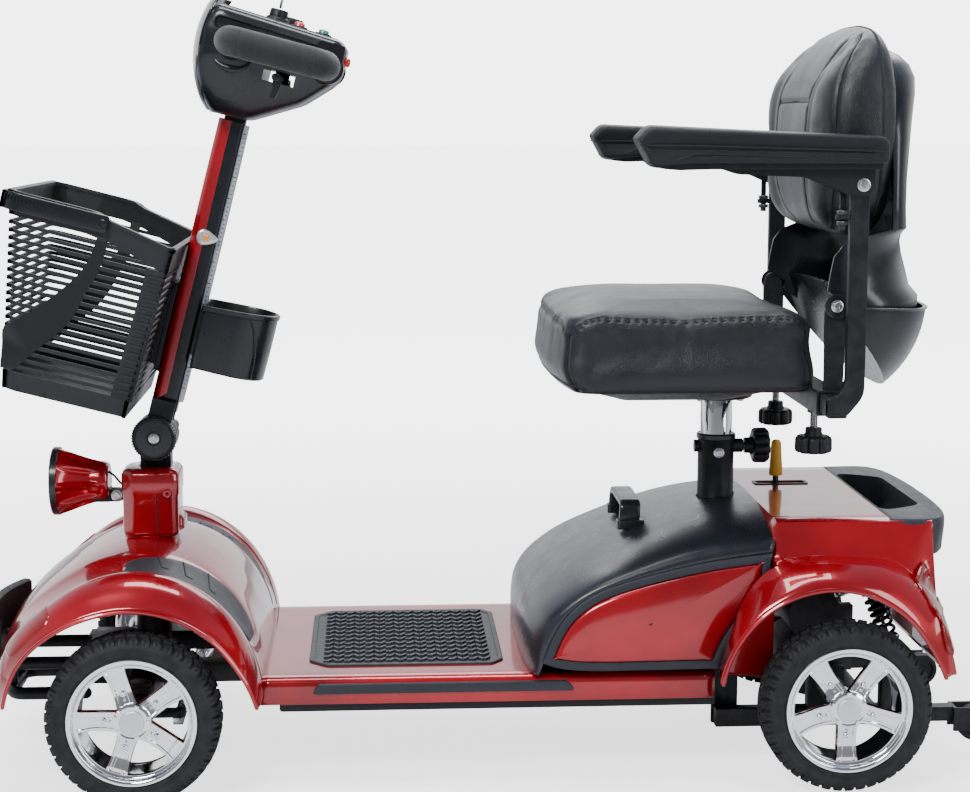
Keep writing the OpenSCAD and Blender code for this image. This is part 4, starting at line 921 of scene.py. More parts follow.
feet_ = total(slab((hx_ - 17, s_ * (hw_ - 7) - 8, lo_[2] - 8), (hx_ + 17, s_ * (hw_ - 7) + 8, lo_[2] + 4),
                   4) for s_ in (-1, 1))
put(bevel(obj("handle_feet", feet_), 1.5), "chassis", SATIN, slot="black_plastic")

# ---------------------------------------------------------------- rear shroud
AX, ARZ = RX + 20, AZ + 15.5
# rows: lip radius, crease radius, shoulder (distance, radius), step (distance, radius), wall top distance


def rear_section(a):
    """Points across the rear body at an angle about the arch; 0 is straight back."""
    lip, crease, sh_y, sh_r, st_y, st_r, top_y = table(
        [0, 12, 25, 40, 60, 80, 100, 115, 130, 145, 160, 180],
        [[142, 150, 236, 152, 222, 148, 200], [136, 146, 236, 152, 222, 152, 200],
         [131, 143, 234, 153, 214, 158, 196],
         [129.5, 142, 228, 158, 200, 168, 188], [129, 141, 220, 158, 188, 172, 182],
         [129, 140, 214, 154, 186, 160, 180],
         [129, 140, 212, 153, 186, 160, 179], [129, 138.5, 210, 149, 186, 166, 180],
         [129, 137, 208, 143, 185, 152, 181],
         [129, 134, 208, 136, 184, 134, 182], [130, 132, 210, 131, 184, 128, 183],
         [131, 131, 212, 130, 184, 127, 183]], a)
    t = math.radians(a)
    flat = BOX_TOP - ARZ
    roof = flat / max(math.sin(t), 0.05)
    back = 118 / max(math.cos(t), 0.05) if a < 88 else 1e9
    seam = 62 / max(-math.cos(t), 0.05) if a > 92 else 1e9
    far = min(roof, back + 26, seam)
    pts = [(242, lip), (240.5, lip + 4), (236, crease), (sh_y, sh_r),
           ((sh_y + st_y) / 2, (sh_r * 0.35 + st_r * 0.65)),
           (st_y, min(st_r, far)), (st_y - 1.5, min(st_r + 3, far))]
    top_r = max(min(far, roof), st_r * 0.9)
    pts += [(top_y + 0.5, max(top_r - 9, min(st_r + 3, far))), (top_y - 1.5, top_r - 2.5),
            (top_y - 8, top_r)]
    pts += [(y, top_r) for y in (150, 110, 60, 0)]
    return [(AX - r * math.cos(t), y, ARZ + r * math.sin(t)) for y, r in pts]


half_ = [rear_section(a_) for a_ in np.linspace(172, 9, 90)]
rows_ = [[(x_, -y_, z_) for x_, y_, z_ in h_] + h_[::-1][1:] for h_ in half_]
tail = obj("rear_body_shell", grid(rows_), 40)
thicken(tail, 3.0)
apply(tail)
lever_at = joint_at("freewheel_turn")
cut(tail, brick((lever_at[0] - 40, lever_at[1] - 8, BOX_TOP - 40),
                (lever_at[0] + 27, lever_at[1] + 8, BOX_TOP + 10)))
room = box("rear_handle")
cut(tail, brick((room[0][0] - 60, room[0][1] + 6, room[0][2] + 6),
                (room[1][0] - 8, room[1][1] - 6, room[1][2] + 40)))
put(tail, "chassis", RED, "rear_shroud")
lips_ = total(tube([(h_[0][0], s_ * 241, h_[0][2]) for h_ in half_], 2.8, 10) for s_ in (-1, 1))
put(obj("rear_arch_lips", lips_), "chassis", RED, slot="red_paint")

# grab handle
lo_, hi_ = box("rear_handle")
hy_ = (hi_[1] - lo_[1]) / 2
outer_ = spline([(hi_[0] - 6, -hy_ + 2), (lo_[0] + 44, -hy_ - 1), (lo_[0] + 22, -hy_ + 9),
                 (lo_[0] + 8, -hy_ + 46), (lo_[0] + 1, -60),
                 (lo_[0], 0), (lo_[0] + 1, 60), (lo_[0] + 8, hy_ - 46), (lo_[0] + 22, hy_ - 9),
                 (lo_[0] + 44, hy_ + 1), (hi_[0] - 6, hy_ - 2)], 90)
outer_ = np.vstack([outer_, [(hi_[0] - 10, y_) for y_ in np.linspace(hy_ - 12, -hy_ + 12, 12)]])
body_ = obj("rear_grab_handle",
            stack(outer_, [(lo_[2] + 8, 10), (lo_[2] + 12, 4), (hi_[2] - 16, -1), (hi_[2] - 4, -1),
                           (hi_[2] - 1, 1),
                                               (hi_[2], 4)], "xy"), 40)
hole_ = rounded([(lo_[0] + 27, -92), (lo_[0] + 80, -126), (lo_[0] + 80, 126), (lo_[0] + 27, 92)],
                [26, 14, 14, 26], 8)
cut(body_, stack(hole_, [(lo_[2] - 10, 6), (hi_[2] + 4, -2)], "xy"))
put(body_, "chassis", GREY, "rear_handle")
screws_ = total(bolt((lo_[0] + 60, s_ * (hy_ - 0.5), lo_[2] + 24), (0, s_, 0), 3.2, 1.6, 0)
                for s_ in (-1, 1))
put(obj("rear_handle_screws", screws_), "chassis", STEEL, slot="bright_steel")

# ---------------------------------------------------------------- floor
lo_, hi_ = box("floor_deck")
w_ = (hi_[1] - lo_[1]) / 2
sec_ = [(0, DECK), (w_ - 40, DECK), (w_ - 12, DECK - 0.4), (w_ - 4, DECK - 2.5), (w_ - 0.5, DECK - 7),
        (w_, DECK - 12),
        (w_ - 0.5, DECK - 27), (w_ - 3, DECK - 34), (w_ - 8, DECK - 35)]
sec_ = spline(sec_, 40)
full_ = np.vstack([(sec_ * (-1, 1))[::-1][:-1], sec_])
xs_ = np.linspace(RX + 148, FX - 140, 40)
deck = obj("footwell_deck", grid([[(x_, y_, z_) for y_, z_ in full_] for x_ in xs_]), 50)
thicken(deck, 2.5)
put(deck, "chassis", RED, "floor_deck")
skirt_ = total(slab((RX + 146, s_ * (w_ - 12) - 5, DECK - 44), (FX - 166, s_ * (w_ - 12) + 5, DECK - 30), 4,
                    "xz") for s_ in (-1, 1))
put(bevel(obj("deck_skirt", skirt_), 1.2), "chassis", BLACK, slot="black_plastic")
strip_ = rounded([(NOSE - 58, DECK - 20), (NOSE - 46, DECK - 7.5), (FX - 214, DECK - 7.5),
                  (FX - 204, DECK - 20)], 4)
strips_ = total(stack(strip_, [(w_ - 3, 0), (w_ + 2.6, 0), (w_ + 4, 1.2)], "xz") if s_ > 0 else
                stack(strip_, [(-w_ - 4, 1.2), (-w_ - 2.6, 0), (-w_ + 3, 0)], "xz") for s_ in (-1, 1))
put(obj("sill_strips", strips_, 40), "chassis", GREY, "grey_trims")

# mat with a rim and zigzag treads
lo_, hi_ = box("floor_mat")
y1_, z_ = hi_[1], lo_[2]
line_ = rounded([(lo_[0], -y1_ + 18), (lo_[0] + 14, -y1_), (hi_[0] - 22, -y1_), (hi_[0], -y1_ + 22),
                 (hi_[0], y1_ - 22),
                 (hi_[0] - 22, y1_), (lo_[0] + 14, y1_), (lo_[0], y1_ - 18)], 9)
mat_ = stack(line_, [(z_, 0), (z_ + 1.6, 0), (z_ + 2.4, 1.0), (z_ + 2.4, 6), (z_ + 1.4, 7), (z_ + 1.4, 30)],
             "xy")
treads_ = []
for i_ in range(13):
    y_ = -y1_ + 16 + (2 * y1_ - 32) * i_ / 12
    for j_ in range(9):
        x_ = lo_[0] + 17 + (hi_[0] - lo_[0] - 34) * j_ / 8
        if j_ < 8:
            q_ = (hi_[0] - lo_[0] - 34) / 8
            zig_ = [(x_, y_ - 5), (x_ + q_ * 0.28, y_ + 5), (x_ + q_ * 0.55, y_ - 5),
                    (x_ + q_ * 0.82, y_ + 5)]
            for a_, b_ in zip(zig_, zig_[1:]):
                d_ = np.array(b_) - a_
                n_ = np.array([-d_[1], d_[0]]) / np.linalg.norm(d_) * 1.7
                treads_.append(prism([a_ - n_, np.array(b_) - n_, np.array(b_) + n_, a_ + n_], z_ + 1.2,
                    z_ + 4.2, "xy"))
            treads_.append(prism([(x_ + q_ * 0.86, y_ + 1), (x_ + q_ * 0.98, y_ + 1),
                (x_ + q_ * 0.98, y_ + 5), (x_ + q_ * 0.86, y_ + 5)],
                                 z_ + 1.2, z_ + 4.2, "xy"))
put(obj("footwell_mat", mat_ + total(treads_), 30), "chassis", MAT, "floor_mat")
# ---------------------------------------------------------------- soft goods
def puff(o, voxel, swell, hold):
    """Cloth simulation under pressure; hold(points in mm) marks what rests on something hard."""
    m = o.modifiers.new("remesh", "REMESH")
    m.mode = "VOXEL"
    m.voxel_size = voxel / 1000
    apply(o)
    start = points(o)
    fixed = o.vertex_groups.new(name="held")
    fixed.add([int(i) for i in np.nonzero(hold(start))[0]], 1.0, "REPLACE")
    cloth = o.modifiers.new("cloth", "CLOTH")
    s = cloth.settings
    s.quality = 5
    s.mass = 0.3
    s.use_pressure = True
    s.uniform_pressure_force = 4
    s.effector_weights.gravity = 0
    s.vertex_group_mass = "held"
    cloth.collision_settings.use_collision = False
    for f in range(1, 21):
        bpy.context.scene.frame_set(f)
    apply(o)
    bpy.context.scene.frame_set(1)
    move = points(o) - start
    far = np.linalg.norm(move, axis=1)
    move *= (np.minimum(far, 26) / np.maximum(far, 1e-6))[:, None]
    move *= swell / max(np.percentile(np.linalg.norm(move, axis=1), 99), 1e-6)
    place(o, start + move)
    subdivide(o)
    apply(o)
    o.data.polygons.foreach_set("use_smooth", [True] * len(o.data.polygons))


def points(o):
    v = np.empty(len(o.data.vertices) * 3)
    o.data.vertices.foreach_get("co", v)
    return v.reshape(-1, 3) * 1000


def place(o, v):
    o.data.vertices.foreach_set("co", (v / 1000).ravel())
    o.data.update()


def normals(o):
    n = np.empty(len(o.data.vertices) * 3)
    o.data.vertices.foreach_get("normal", n)
    return n.reshape(-1, 3)


def onto(o, path, lift=0.0):
    """A path dropped onto the surface of o."""
    tree = BVHTree.FromObject(o, bpy.context.evaluated_depsgraph_get())
    out = []
    for p in path:
        at, normal, _, _ = tree.find_nearest(Vector(p) / 1000)
        out.append(np.array(at) * 1000 + np.array(normal) * lift)
    return np.array(out)


def press(o, path, depth, width):
    """Pulls the surface in along a path."""
    v, n = points(o), normals(o)
    near = np.full(len(v), 1e9)
    for p in path:
        near = np.minimum(near, ((v - p) ** 2).sum(1))
    place(o, v - n * (depth * np.exp(-near / width ** 2))[:, None])


def stitches(path, step=5.2, long=3.2, r=0.5):
    """Short threads along a path."""
    count = max(int(np.linalg.norm(np.diff(path, axis=0), axis=1).sum() / step), 2)
    p = spline(path, count * 4)
    return total(tube(p[i * 4:i * 4 + 3], r, 5) for i in range(count))


def sew(o, name, body, slot, lines, depth=2.2, width=3.4, beside=(4.5,)):
    """Sewn seams: a groove with a thread in it, and a row of stitches beside it."""
    runs = [onto(o, spline(p, 90)) for p, _ in lines]
    for r in runs:
        press(o, r, depth, width)
    threads = []
    for (p, side), r in zip(lines, runs):
        r = onto(o, r, 0.3)
        threads.append(tube(spline(r, 120), 0.75, 6))
        for off in beside:
            threads.append(stitches(onto(o, r + np.asarray(side, float) * off, 0.15)))
    seam = obj(name, total(threads))
    put(seam, body, THREAD, slot=slot)
    return runs


# ---------------------------------------------------------------- seat cushion
lo, hi = box("seat_cushion")
SLOT_SEAT = SLOT_OF["seat_cushion"]
half = (hi[1] - lo[1]) / 2
front, rear, zb = hi[0], lo[0], lo[2]
plan = rounded([(rear + 4, -half + 6), (front - 16, -half + 4), (front - 1, -90), (front + 1, 0),
                (front - 1, 90),
                (front - 16, half - 4), (rear + 4, half - 6), (rear + 1, 0)],
                [26, 40, 60, 60, 60, 40, 26, 40], 7)
seat = stack(plan, [(zb + 1, 60), (zb + 1, 32), (zb - 5, 27), (zb - 9, 20), (zb - 9, 13), (zb - 3, 7),
                    (zb + 10, 5), (zb + 22, 5.5), (zb + 38, 9), (zb + 56, 10), (zb + 70, 8),
                    (zb + 80, 10), (zb + 86, 16), (zb + 88.5, 28), (zb + 89, 60), (zb + 89, 100),
                    (zb + 89, 140),
                    (zb + 89, 175)], "xy", ((front + rear) / 2, 0))


def seat_form(v):
    """Rounds the rear and front ends of the top down and draws the bottom of the nose back."""
    u = np.clip((v[:, 2] - zb - 40) / 50, 0, 1)
    back = np.clip((rear + 60 - v[:, 0]) / 60, 0, 1)
    nose = np.clip((v[:, 0] - front + 70) / 70, 0, 1)
    v = v.copy()
    v[:, 2] -= u * (12 * back ** 2 + 9 * nose ** 2)
    low = np.clip((zb + 34 - v[:, 2]) / 42, 0, 1)
    v[:, 0] -= 17 * low ** 1.6 * nose
    return v


cushion = obj("seat_cushion_padded", seat.mapped(seat_form), 0)
puff(cushion, 5.5, 9, lambda p: (p[:, 2] < zb - 2) | (p[:,
    0] < rear + 3) | ((p[:, 2] < zb + 3) & (np.abs(p[:, 1]) < half - 24)))
top_line = []
for x, y, z in [(rear + 12, half - 12, 78), (rear + 40, half - 7, 88), (rear + 90, half - 5, 92),
        (rear + 180, half - 5, 93),
                (front - 74, half - 6, 90), (front - 48, half - 8, 82), (front - 30, half - 14, 66),
                (front - 20, half - 26, 60), (front - 12, half - 44, 68), (front - 8, half - 70, 78),
                (front - 6, 70, 82), (front - 5, 0, 83)]:
    top_line.append((x, y, zb + z))
top_line = top_line + [(x, -y, z) for x, y, z in top_line[-2::-1]]
lines = [(top_line, (0, 0, 1))]
for s in (1, -1):
    lines.append(([(front - 20, s * (half - 26), zb + 60), (front - 17, s * (half - 24), zb + 40),
                   (front - 22, s * (half - 22), zb + 14), (front - 36, s * (half - 22), zb - 8)],
                   (0, -s, 0)))
    lines.append(([(rear + 12, s * (half - 12), zb + 78), (rear + 9, s * (half - 13), zb + 45),
                   (rear + 11, s * (half - 13), zb - 4)], (1, 0, 0)))
for s in (1, -1):
    press(cushion, spline([(front - 46, s * half, zb + 12), (front - 62, s * half, zb + 34),
                        (front - 110, s * half, zb + 47),
                           (rear + 120, s * half, zb + 54), (rear + 14, s * half, zb + 60)], 60), 4.5, 17)
sew(cushion, "seat_seams", "seat", SLOT_SEAT, lines)
put(cushion, "seat", LEATHER, "seat_cushion")
welt = obj("seat_bottom_welt",
           tube(onto(cushion, [(x, y, zb - 6) for x, y in plan[::2]]), 1.6, 8, closed=True))
put(welt, "seat", THREAD, slot=SLOT_SEAT)

# ---------------------------------------------------------------- back cushion
lo, hi = box("back_cushion")
SLOT_BACK = SLOT_OF["back_cushion"]
b_low, b_front, b_rear = lo[2], hi[0], lo[0]
side = [(0, 3), (85, 4), (132, 12), (163, 38), (178, 84), (184, 136), (179, 186), (160, 224), (122, 247),
        (66, 257), (0, 259)]
ring = [(y, b_low + z) for y, z in side] + [(-y, b_low + z) for y, z in side[-2:0:-1]]
ring = spline([(y, z) for y, z in ring], 150, closed=True)
FACE_Z = [0, 14, 40, 80, 130, 165, 195, 232, 252, 262, 270]
FACE_X = [[-15, 16], [-6, 10], [-1, 7], [0, 4], [-1, 3], [-2, 3], [-10, 5], [-31, 8], [-46, 12], [-60, 20],
          [-64, 24]]


def back_form(v):
    """The face curves back at the top; h runs from 0 behind to 1 in front."""
    h = v[:, 0]
    f = np.array([table(FACE_Z, FACE_X, float(z) - b_low) for z in v[:, 2]])
    face = b_front - 3 + f[:, 0]
    behind = b_rear + 2 + f[:, 1] * 0.5
    bolster = 7 * np.exp(-((np.abs(v[:, 1]) - 128) / 34) ** 2) - 3 * np.exp(-(v[:, 1] / 70) ** 2)
    x = behind + (face - behind) * h + bolster * np.clip(h - 0.6, 0,
        1) * 1.6 * np.clip((b_low + 250 - v[:, 2]) / 60, 0, 1)
    return np.stack([x, v[:, 1], v[:, 2]], 1)


levels = [(0, 150), (0, 110), (0, 60), (0, 30), (0.03, 14), (0.14, 5), (0.32, 1), (0.55, 0), (0.75, 3),
          (0.87, 9),
          (0.95, 18), (0.99, 30), (1, 46), (1, 66), (1, 90), (1, 115), (1, 140), (1, 165)]
pad = obj("back_cushion_padded", stack(ring, levels, "yz", (0, b_low + 132)).mapped(back_form), 0)
puff(pad, 5.5, 7, lambda p: p[:, 0] < b_rear + 9)


def face(y, z):
    return (b_front + 4 + table(FACE_Z, FACE_X, z)[0], y, b_low + z)


lines = []
for s in (1, -1):
    lines.append(([face(s * 96, 245), face(s * 88, 215), face(s * 84, 165), face(s * 83, 110),
                   face(s * 78, 60),
                   face(s * 62, 22), face(s * 52, 6)], (0, s, 0)))
    lines.append(([(b_front - 52, s * 118, b_low + 249), (b_front - 36, s * 148, b_low + 220),
                   (b_front - 20, s * 166, b_low + 180),
                   (b_front - 14, s * 172, b_low + 130), (b_front - 14, s * 168, b_low + 80),
                   (b_front - 16, s * 152, b_low + 38),
                   (b_front - 22, s * 126, b_low + 12)], (0, -s, 0)))
lines.append(([face(-83, 166), face(0, 167), face(83, 166)], (0, 0, 1)))
sew(pad, "back_seams", "back", SLOT_BACK, lines, beside=())
for s in (1, -1):
    press(pad, onto(pad, spline([face(s * 112, 225), face(s * 104, 165), face(s * 102, 100),
        face(s * 90, 40)], 60)), 3, 12)
put(pad, "back", LEATHER, "back_cushion")
hem = obj("back_cover_hem",
          tube(onto(pad, [(b_rear + 22, y, z) for y, z in ring[::2]]), 1.8, 8, closed=True))
put(hem, "back", THREAD, slot=SLOT_BACK)

# ---------------------------------------------------------------- seat shells
HX, _, HZ = joint_at("back_fold")
slot_shell = SLOT_OF["lower_seat_shell"]


def wrap(rows, half_y, power, n=44):
    """Rows of (rear point, pivot point, half width): each is a U from one side round the rear to the other."""
    out = []
    for k, (p, q, w) in enumerate(rows):
        row = []
        for a in np.linspace(-math.pi / 2, math.pi / 2, n):
            s, c = math.sin(a), math.cos(a)
            yy = w * math.copysign(abs(s) ** (2 / power), s)
            c = max(abs(c) ** (2 / power), 0.0)
            row.append((q[0] + (p[0] - q[0]) * c, yy, q[1] + (p[1] - q[1]) * c))
        out.append(row)
    return grid(out)


def polar(r, a):
    return (HX + r * math.cos(math.radians(a)), HZ + r * math.sin(math.radians(a)))


lo, hi = box("lower_seat_shell")
reach, wide = HX - lo[0], hi[1]
rows = []
for a in np.linspace(184, 232, 13):
    rows.append((polar(reach, a), polar(13, a), wide))
end = np.array([HX - 27, box("seat_base")[1][2]])
for t in (0.3, 0.6, 0.85, 1.0):
    p = np.array(polar(reach, 232)) * (1 - t) + end * t
    a = math.degrees(math.atan2(p[1] - HZ, p[0] - HX))
    rows.append((tuple(p), polar(13, a), wide))
bowl = obj("lower_shell_bowl", wrap(rows, wide, 2.6, 60), 60)
thicken(bowl, 3.6, -1)
bevel(bowl, 0.9, 2, 50)
put(bowl, "seat", SATIN, "lower_seat_shell")
rim = wrap([(polar(reach + 0.6, 184.4), polar(14, 184.4), wide + 0.4)], wide, 2.6, 90).v
put(obj("lower_shell_rim", tube(rim, 1.7, 8)), "seat", SATIN, slot=slot_shell)

lo, hi = box("upper_seat_shell")
foot, w0 = 131.5, min(hi[1], wide - 4) - 7.2
foot = min(foot, reach - 10.5)
rows = []
for a in np.linspace(216, 178, 9):
    rows.append((polar(foot, a), polar(15, a), w0))
bk = b_rear + 8
for z, xr, xf, w in [(592, -532, -396, 0), (612, -526, -399, 0), (632, -519.5, -403, 0),
        (646, -516, -414, 1), (656, -513.5, -440, 2),
                     (664, -512.5, bk, 2), (690, -511, bk, 1), (723, -512, bk, -1), (770, -518, bk, -8),
                     (800, -524, bk, -20),
                     (822, -530, bk, -34), (842, -533, bk, -52), (858, -529, bk, -74), (870, -518, bk, -96),
                     (878, -502, bk, -116), (881, -484, bk, -130)]:
    rows.append(((HX + (xr + 411), HZ + z - 575), (HX + (xf + 405), HZ + z - 575), w0 + w))
shell = obj("upper_back_shell", wrap(rows, w0, 2.6, 60), 60)
thicken(shell, 3.4, -1)
bevel(shell, 0.8, 2, 50)
put(shell, "back", SATIN, "upper_seat_shell")
hinge = []
for s in (1, -1):
    y = box("lower_seat_shell")[1][1]
    hinge.append(bolt((HX, s * (y + 0.2), HZ), (0, s, 0), 5, 3.4, 6))
put(obj("back_hinge_bolts", total(hinge)), "seat", STEEL, slot="bright_steel")
discs = lathe([(3, -0.5), (13, -0.5), (14.5, 0.1), (14.5, 0.6), (12, 1.0), (3, 1.0)], (HX, y, HZ),
              (0, 1, 0), 40)
put(obj("back_hinge_discs", discs.both()), "seat", SATIN, slot=slot_shell)

# pan under the cushion, swivel plate, cross tube and the ears of the hinge
lo, hi = box("seat_base")
cx = box("left_arm_post")[1][0] - 11.5
cz = box("left_arm_post")[0][2] + 11.5
pan = rounded([(rear + 28, -168), (front - 32, -168), (front - 32, 168), (rear + 28, 168)], 30, 6)
dish = stack(pan, [(lo[2] + 10, 110), (lo[2] + 10, 66), (lo[2] + 13, 58), (lo[2] + 24, 26),
                   (lo[2] + 31, 12), ((zb - 0.4), 4), ((zb - 0.4), 0)], "xy")
plate = lathe([(0, 0), (43, 0), (45, 1.5), (45, 8.5), (43, 10), (0, 10)], (PX, 0, lo[2]), (0, 0, 1), 64)
ring_a = rounded([(cx - 15, cz - 15), (cx + 15, cz - 15), (cx + 15, cz + 15), (cx - 15, cz + 15)], 3)
ring_b = rounded([(cx - 11.8, cz - 11.8), (cx + 11.8, cz - 11.8), (cx + 11.8, cz + 11.8),
                  (cx - 11.8, cz + 11.8)], 1.5)
sleeve = grid([[(a, yy, b) for a, b in r] for yy, r in ((-188, ring_a), (188, ring_a), (188, ring_b),
    (-188, ring_b))], wrap_u=True, wrap_v=True)
web = slab((cx + 12, -60, lo[2] + 12), (rear + 60, 60, cz + 10), 4, "xz")
ear = rounded([(HX - 10, cz), (HX - 13, HZ - 8), (HX - 9, HZ + 11), (HX + 9, HZ + 11), (HX + 13, HZ - 8),
               (HX + 12, cz)], [3, 10, 12, 12, 10, 3], 6)
ears = prism(ear, wide - 10, wide - 4.3).both()
nuts_ = total(lathe([(5.4, 0), (9, 0), (9, 6), (8, 7), (5.4, 7)],
                    (cx, s * middle("left_arm_knob")[1], cz - 22), (0, 0, 1), 6) for s in (1, -1))
o = obj("seat_pan_frame", dish + plate + sleeve + web + ears + nuts_, 35)
bevel(o, 1.0, 2)
put(o, "seat", POWDER, "seat_base")

# ---------------------------------------------------------------- knobs
def knob(at, axis, stud, name, body, node, lobes=9, r=23.0, high=21.0):
    """Lobed clamp knob: its outer face is furthest along axis, its stud runs back to the socket."""
    w = np.asarray(axis, float)
    u = np.cross(w, [0, 1, 0] if abs(w[1]) < 0.9 else [1, 0, 0])
    u /= np.linalg.norm(u)
    t = np.cross(w, u)
    star = []
    for a in np.linspace(0, 2 * math.pi, 144, endpoint=False):
        k = abs(math.cos(a * lobes / 2)) ** 0.55
        star.append(((r - 3.6 + 3.6 * k) * math.cos(a), (r - 3.6 + 3.6 * k) * math.sin(a)))
    body_ = stack(star, [(0, 12), (0, 4), (1.4, 1.4), (4, 0.3), (high - 5, 0), (high - 2, 1.1),
                        (high - 0.5, 3.4), (high, 6),
                         (high, 9), (high - 1.4, 10), (high - 1.4, 14)], "xy", (0, 0))
    cap_ = lathe([(9, high - 2), (9, high - 0.8), (7, high - 0.2), (0, high)], (0, 0, 0), (0, 0, 1), 32)
    hub = lathe([(9, 1), (11.4, 0), (11.4, -2), (10.2, -4), (10.2, -9), (9.4, -10), (4, -10)], (0, 0, 0),
                (0, 0, 1), 40)
    to = lambda v: np.asarray(at) + v[:, 0:1] * u + v[:, 1:2] * t + v[:, 2:3] * w
    o = obj(name, (body_ + cap_ + hub).mapped(to), 40)
    put(o, body, BLACK, node)
    n = int((stud - 9) / 1.4)
    thread = [(4.9 if i % 2 else 4.3, -9 - i * 0.7) for i in range(2 * n)]
    put(obj(name + "_stud", lathe([(1, -8)] + thread + [(1, -stud)], (0, 0, 0), (0, 0, 1), 24).mapped(to)),
        body, STEEL,
        slot=SLOT_OF[node])


kz = joint_at("post_knob_turn")[2]
px0, px1 = box("post_knob")[0][0], box("post_knob")[1][0]
knob((px0 + 21.5, 0, kz), (-1, 0, 0), px1 - px0 - 21.5, "post_clamp_knob", "post_clamp", "post_knob")
for node, body in (("left_arm_knob", "left_clamp"), ("right_arm_knob", "right_clamp")):
    lo, hi = box(node)
    knob((middle(node)[0], middle(node)[1], lo[2] + 21.5), (0, 0, -1), hi[2] - lo[2] - 21.5,
         node.replace("knob", "star_knob"), body, node)

# ---------------------------------------------------------------- arm posts and armrests
lo, hi = box("left_arm_post")
AX, _, AH = joint_at("left_armrest_flip")
ay = middle("left_armrest")[1]
tz0, tz1 = lo[2], lo[2] + 23
tx0, tx1 = hi[0] - 23, hi[0]
bar = rounded([(AX - 9, AH + 10), (AX - 9, tz0 + 26), (tx0 + 2, tz0), (tx1, tz0), (tx1, tz1),
               (AX + 22, tz1 + 3),
               (AX + 13, tz1 + 20), (AX + 13, AH + 10)], [10, 30, 24, 3, 3, 10, 20, 10], 8)
post = prism(bar, ay - 5.8, ay + 5.8) + slab((tx0, lo[1], tz0), (tx1, ay + 5.6, tz1), 2.5, "xz")
tab = slab((AX + 12, ay - 5, AH - 40), (AX + 29, ay + 5, AH - 34), 4, "xy")
stud = lathe([(0, -5), (3.9, -5), (3.9, 0),
              (3.4, 1)] + [(3.9 if i % 2 else 3.3, 2 + i * 0.7) for i in range(60)] + [(3.3, 45), (0, 45)],
             (AX + 21, ay, AH - 46), (0, 0, 1), 20)
nuts = total(lathe([(3, 0), (6.6, 0), (7, 0.6), (7, 4), (6.6, 4.6), (3, 4.6)], (AX + 21, ay, AH + z),
                   (0, 0, 1), 6) for z in (-46, -33.8))
tip_ = lathe([(3, 43), (5.6, 43.4), (6, 45), (6, 49), (4.6, 51.2), (0, 51.6)], (AX + 21, ay, AH - 46),
             (0, 0, 1), 24)
for side_, mir, body in (("left", False, "left_arm"), ("right", True, "right_arm")):
    f = (lambda s: s.mirrored()) if mir else (lambda s: s)
    o = obj(side_ + "_arm_upright", f(post + tab), 35)
    bevel(o, 1.3, 3)
    put(o, body, POWDER, side_ + "_arm_post")
    put(obj(side_ + "_arm_stop_bolt", f(stud + nuts)), body, DARKSTEEL, slot=SLOT_OF["left_arm_post"])
    put(obj(side_ + "_arm_stop_cap", f(tip_)), body, RUBBER, slot=SLOT_OF["left_arm_post"])

lo, hi = box("left_armrest")
r_, f_, top = lo[0], hi[0], hi[2]
outline = rounded([(r_ + 1, top - 43), (r_ + 1, top - 11), (r_ + 150, top - 5), (f_ - 12, top + 1),
                   (f_, top - 13), (f_ - 2, top - 18),
                   (f_ - 16, top - 44), (f_ - 26, top - 46), (f_ - 60, top - 43)],
                   [8, 13, 60, 14, 8, 8, 7, 12, 30], 7)
pad_w = 28.0
arm_pad = stack(outline, [(ay - pad_w + 4, 26), (ay - pad_w + 1.2, 16), (ay - pad_w + 0.2, 9),
                    (ay - pad_w, 5.5), (ay - pad_w + 1.4, 2.4),
                          (ay - pad_w + 5, 0.7), (ay - pad_w + 12, 0), (ay, -1.2), (ay + pad_w - 12, 0),
                          (ay + pad_w - 5, 0.7),
                          (ay + pad_w - 1.4, 2.4), (ay + pad_w, 5.5), (ay + pad_w - 0.2, 9),
                          (ay + pad_w - 1.2, 16),
                          (ay + pad_w - 4, 26)], "xz")
core = rounded([(f_ - 22, top - 42), (f_ - 30, top - 47.5), (f_ - 48, top - 49), (f_ - 80, top - 48),
                (r_ + 8, top - 48), (r_ + 8, top - 40)],
               [2, 8, 8, 8, 4, 2], 5)
cheek = rounded([(AX - 13, AH + 21), (AX - 13.5, AH - 6), (AX - 4, AH - 12.5), (AX + 16, AH - 12),
                 (AX + 34, AH - 4),
                 (AX + 66, AH + 9), (f_ - 118, AH + 12), (f_ - 96, AH + 19), (f_ - 96, AH + 22)],
                 [3, 12, 8, 10, 12, 30, 14, 3, 1], 6)
lines_ = []
for s in (1, -1):
    y = ay + s * (pad_w - 0.6)
    lines_.append(tube(spline([(f_ - 3, y - s * 3, top - 21), (f_ - 26, y, top - 21),
        (f_ - 90, y + s * 0.2, top - 22), (r_ + 4, y, top - 28)], 60), 0.9, 8))
    lines_.append(tube(spline([(f_ - 14, y - s * 4, top - 40), (f_ - 34, y - s, top - 40),
        (f_ - 60, y, top - 33), (f_ - 84, y, top - 31),
                               (r_ + 4, y, top - 37)], 60), 0.9, 8))
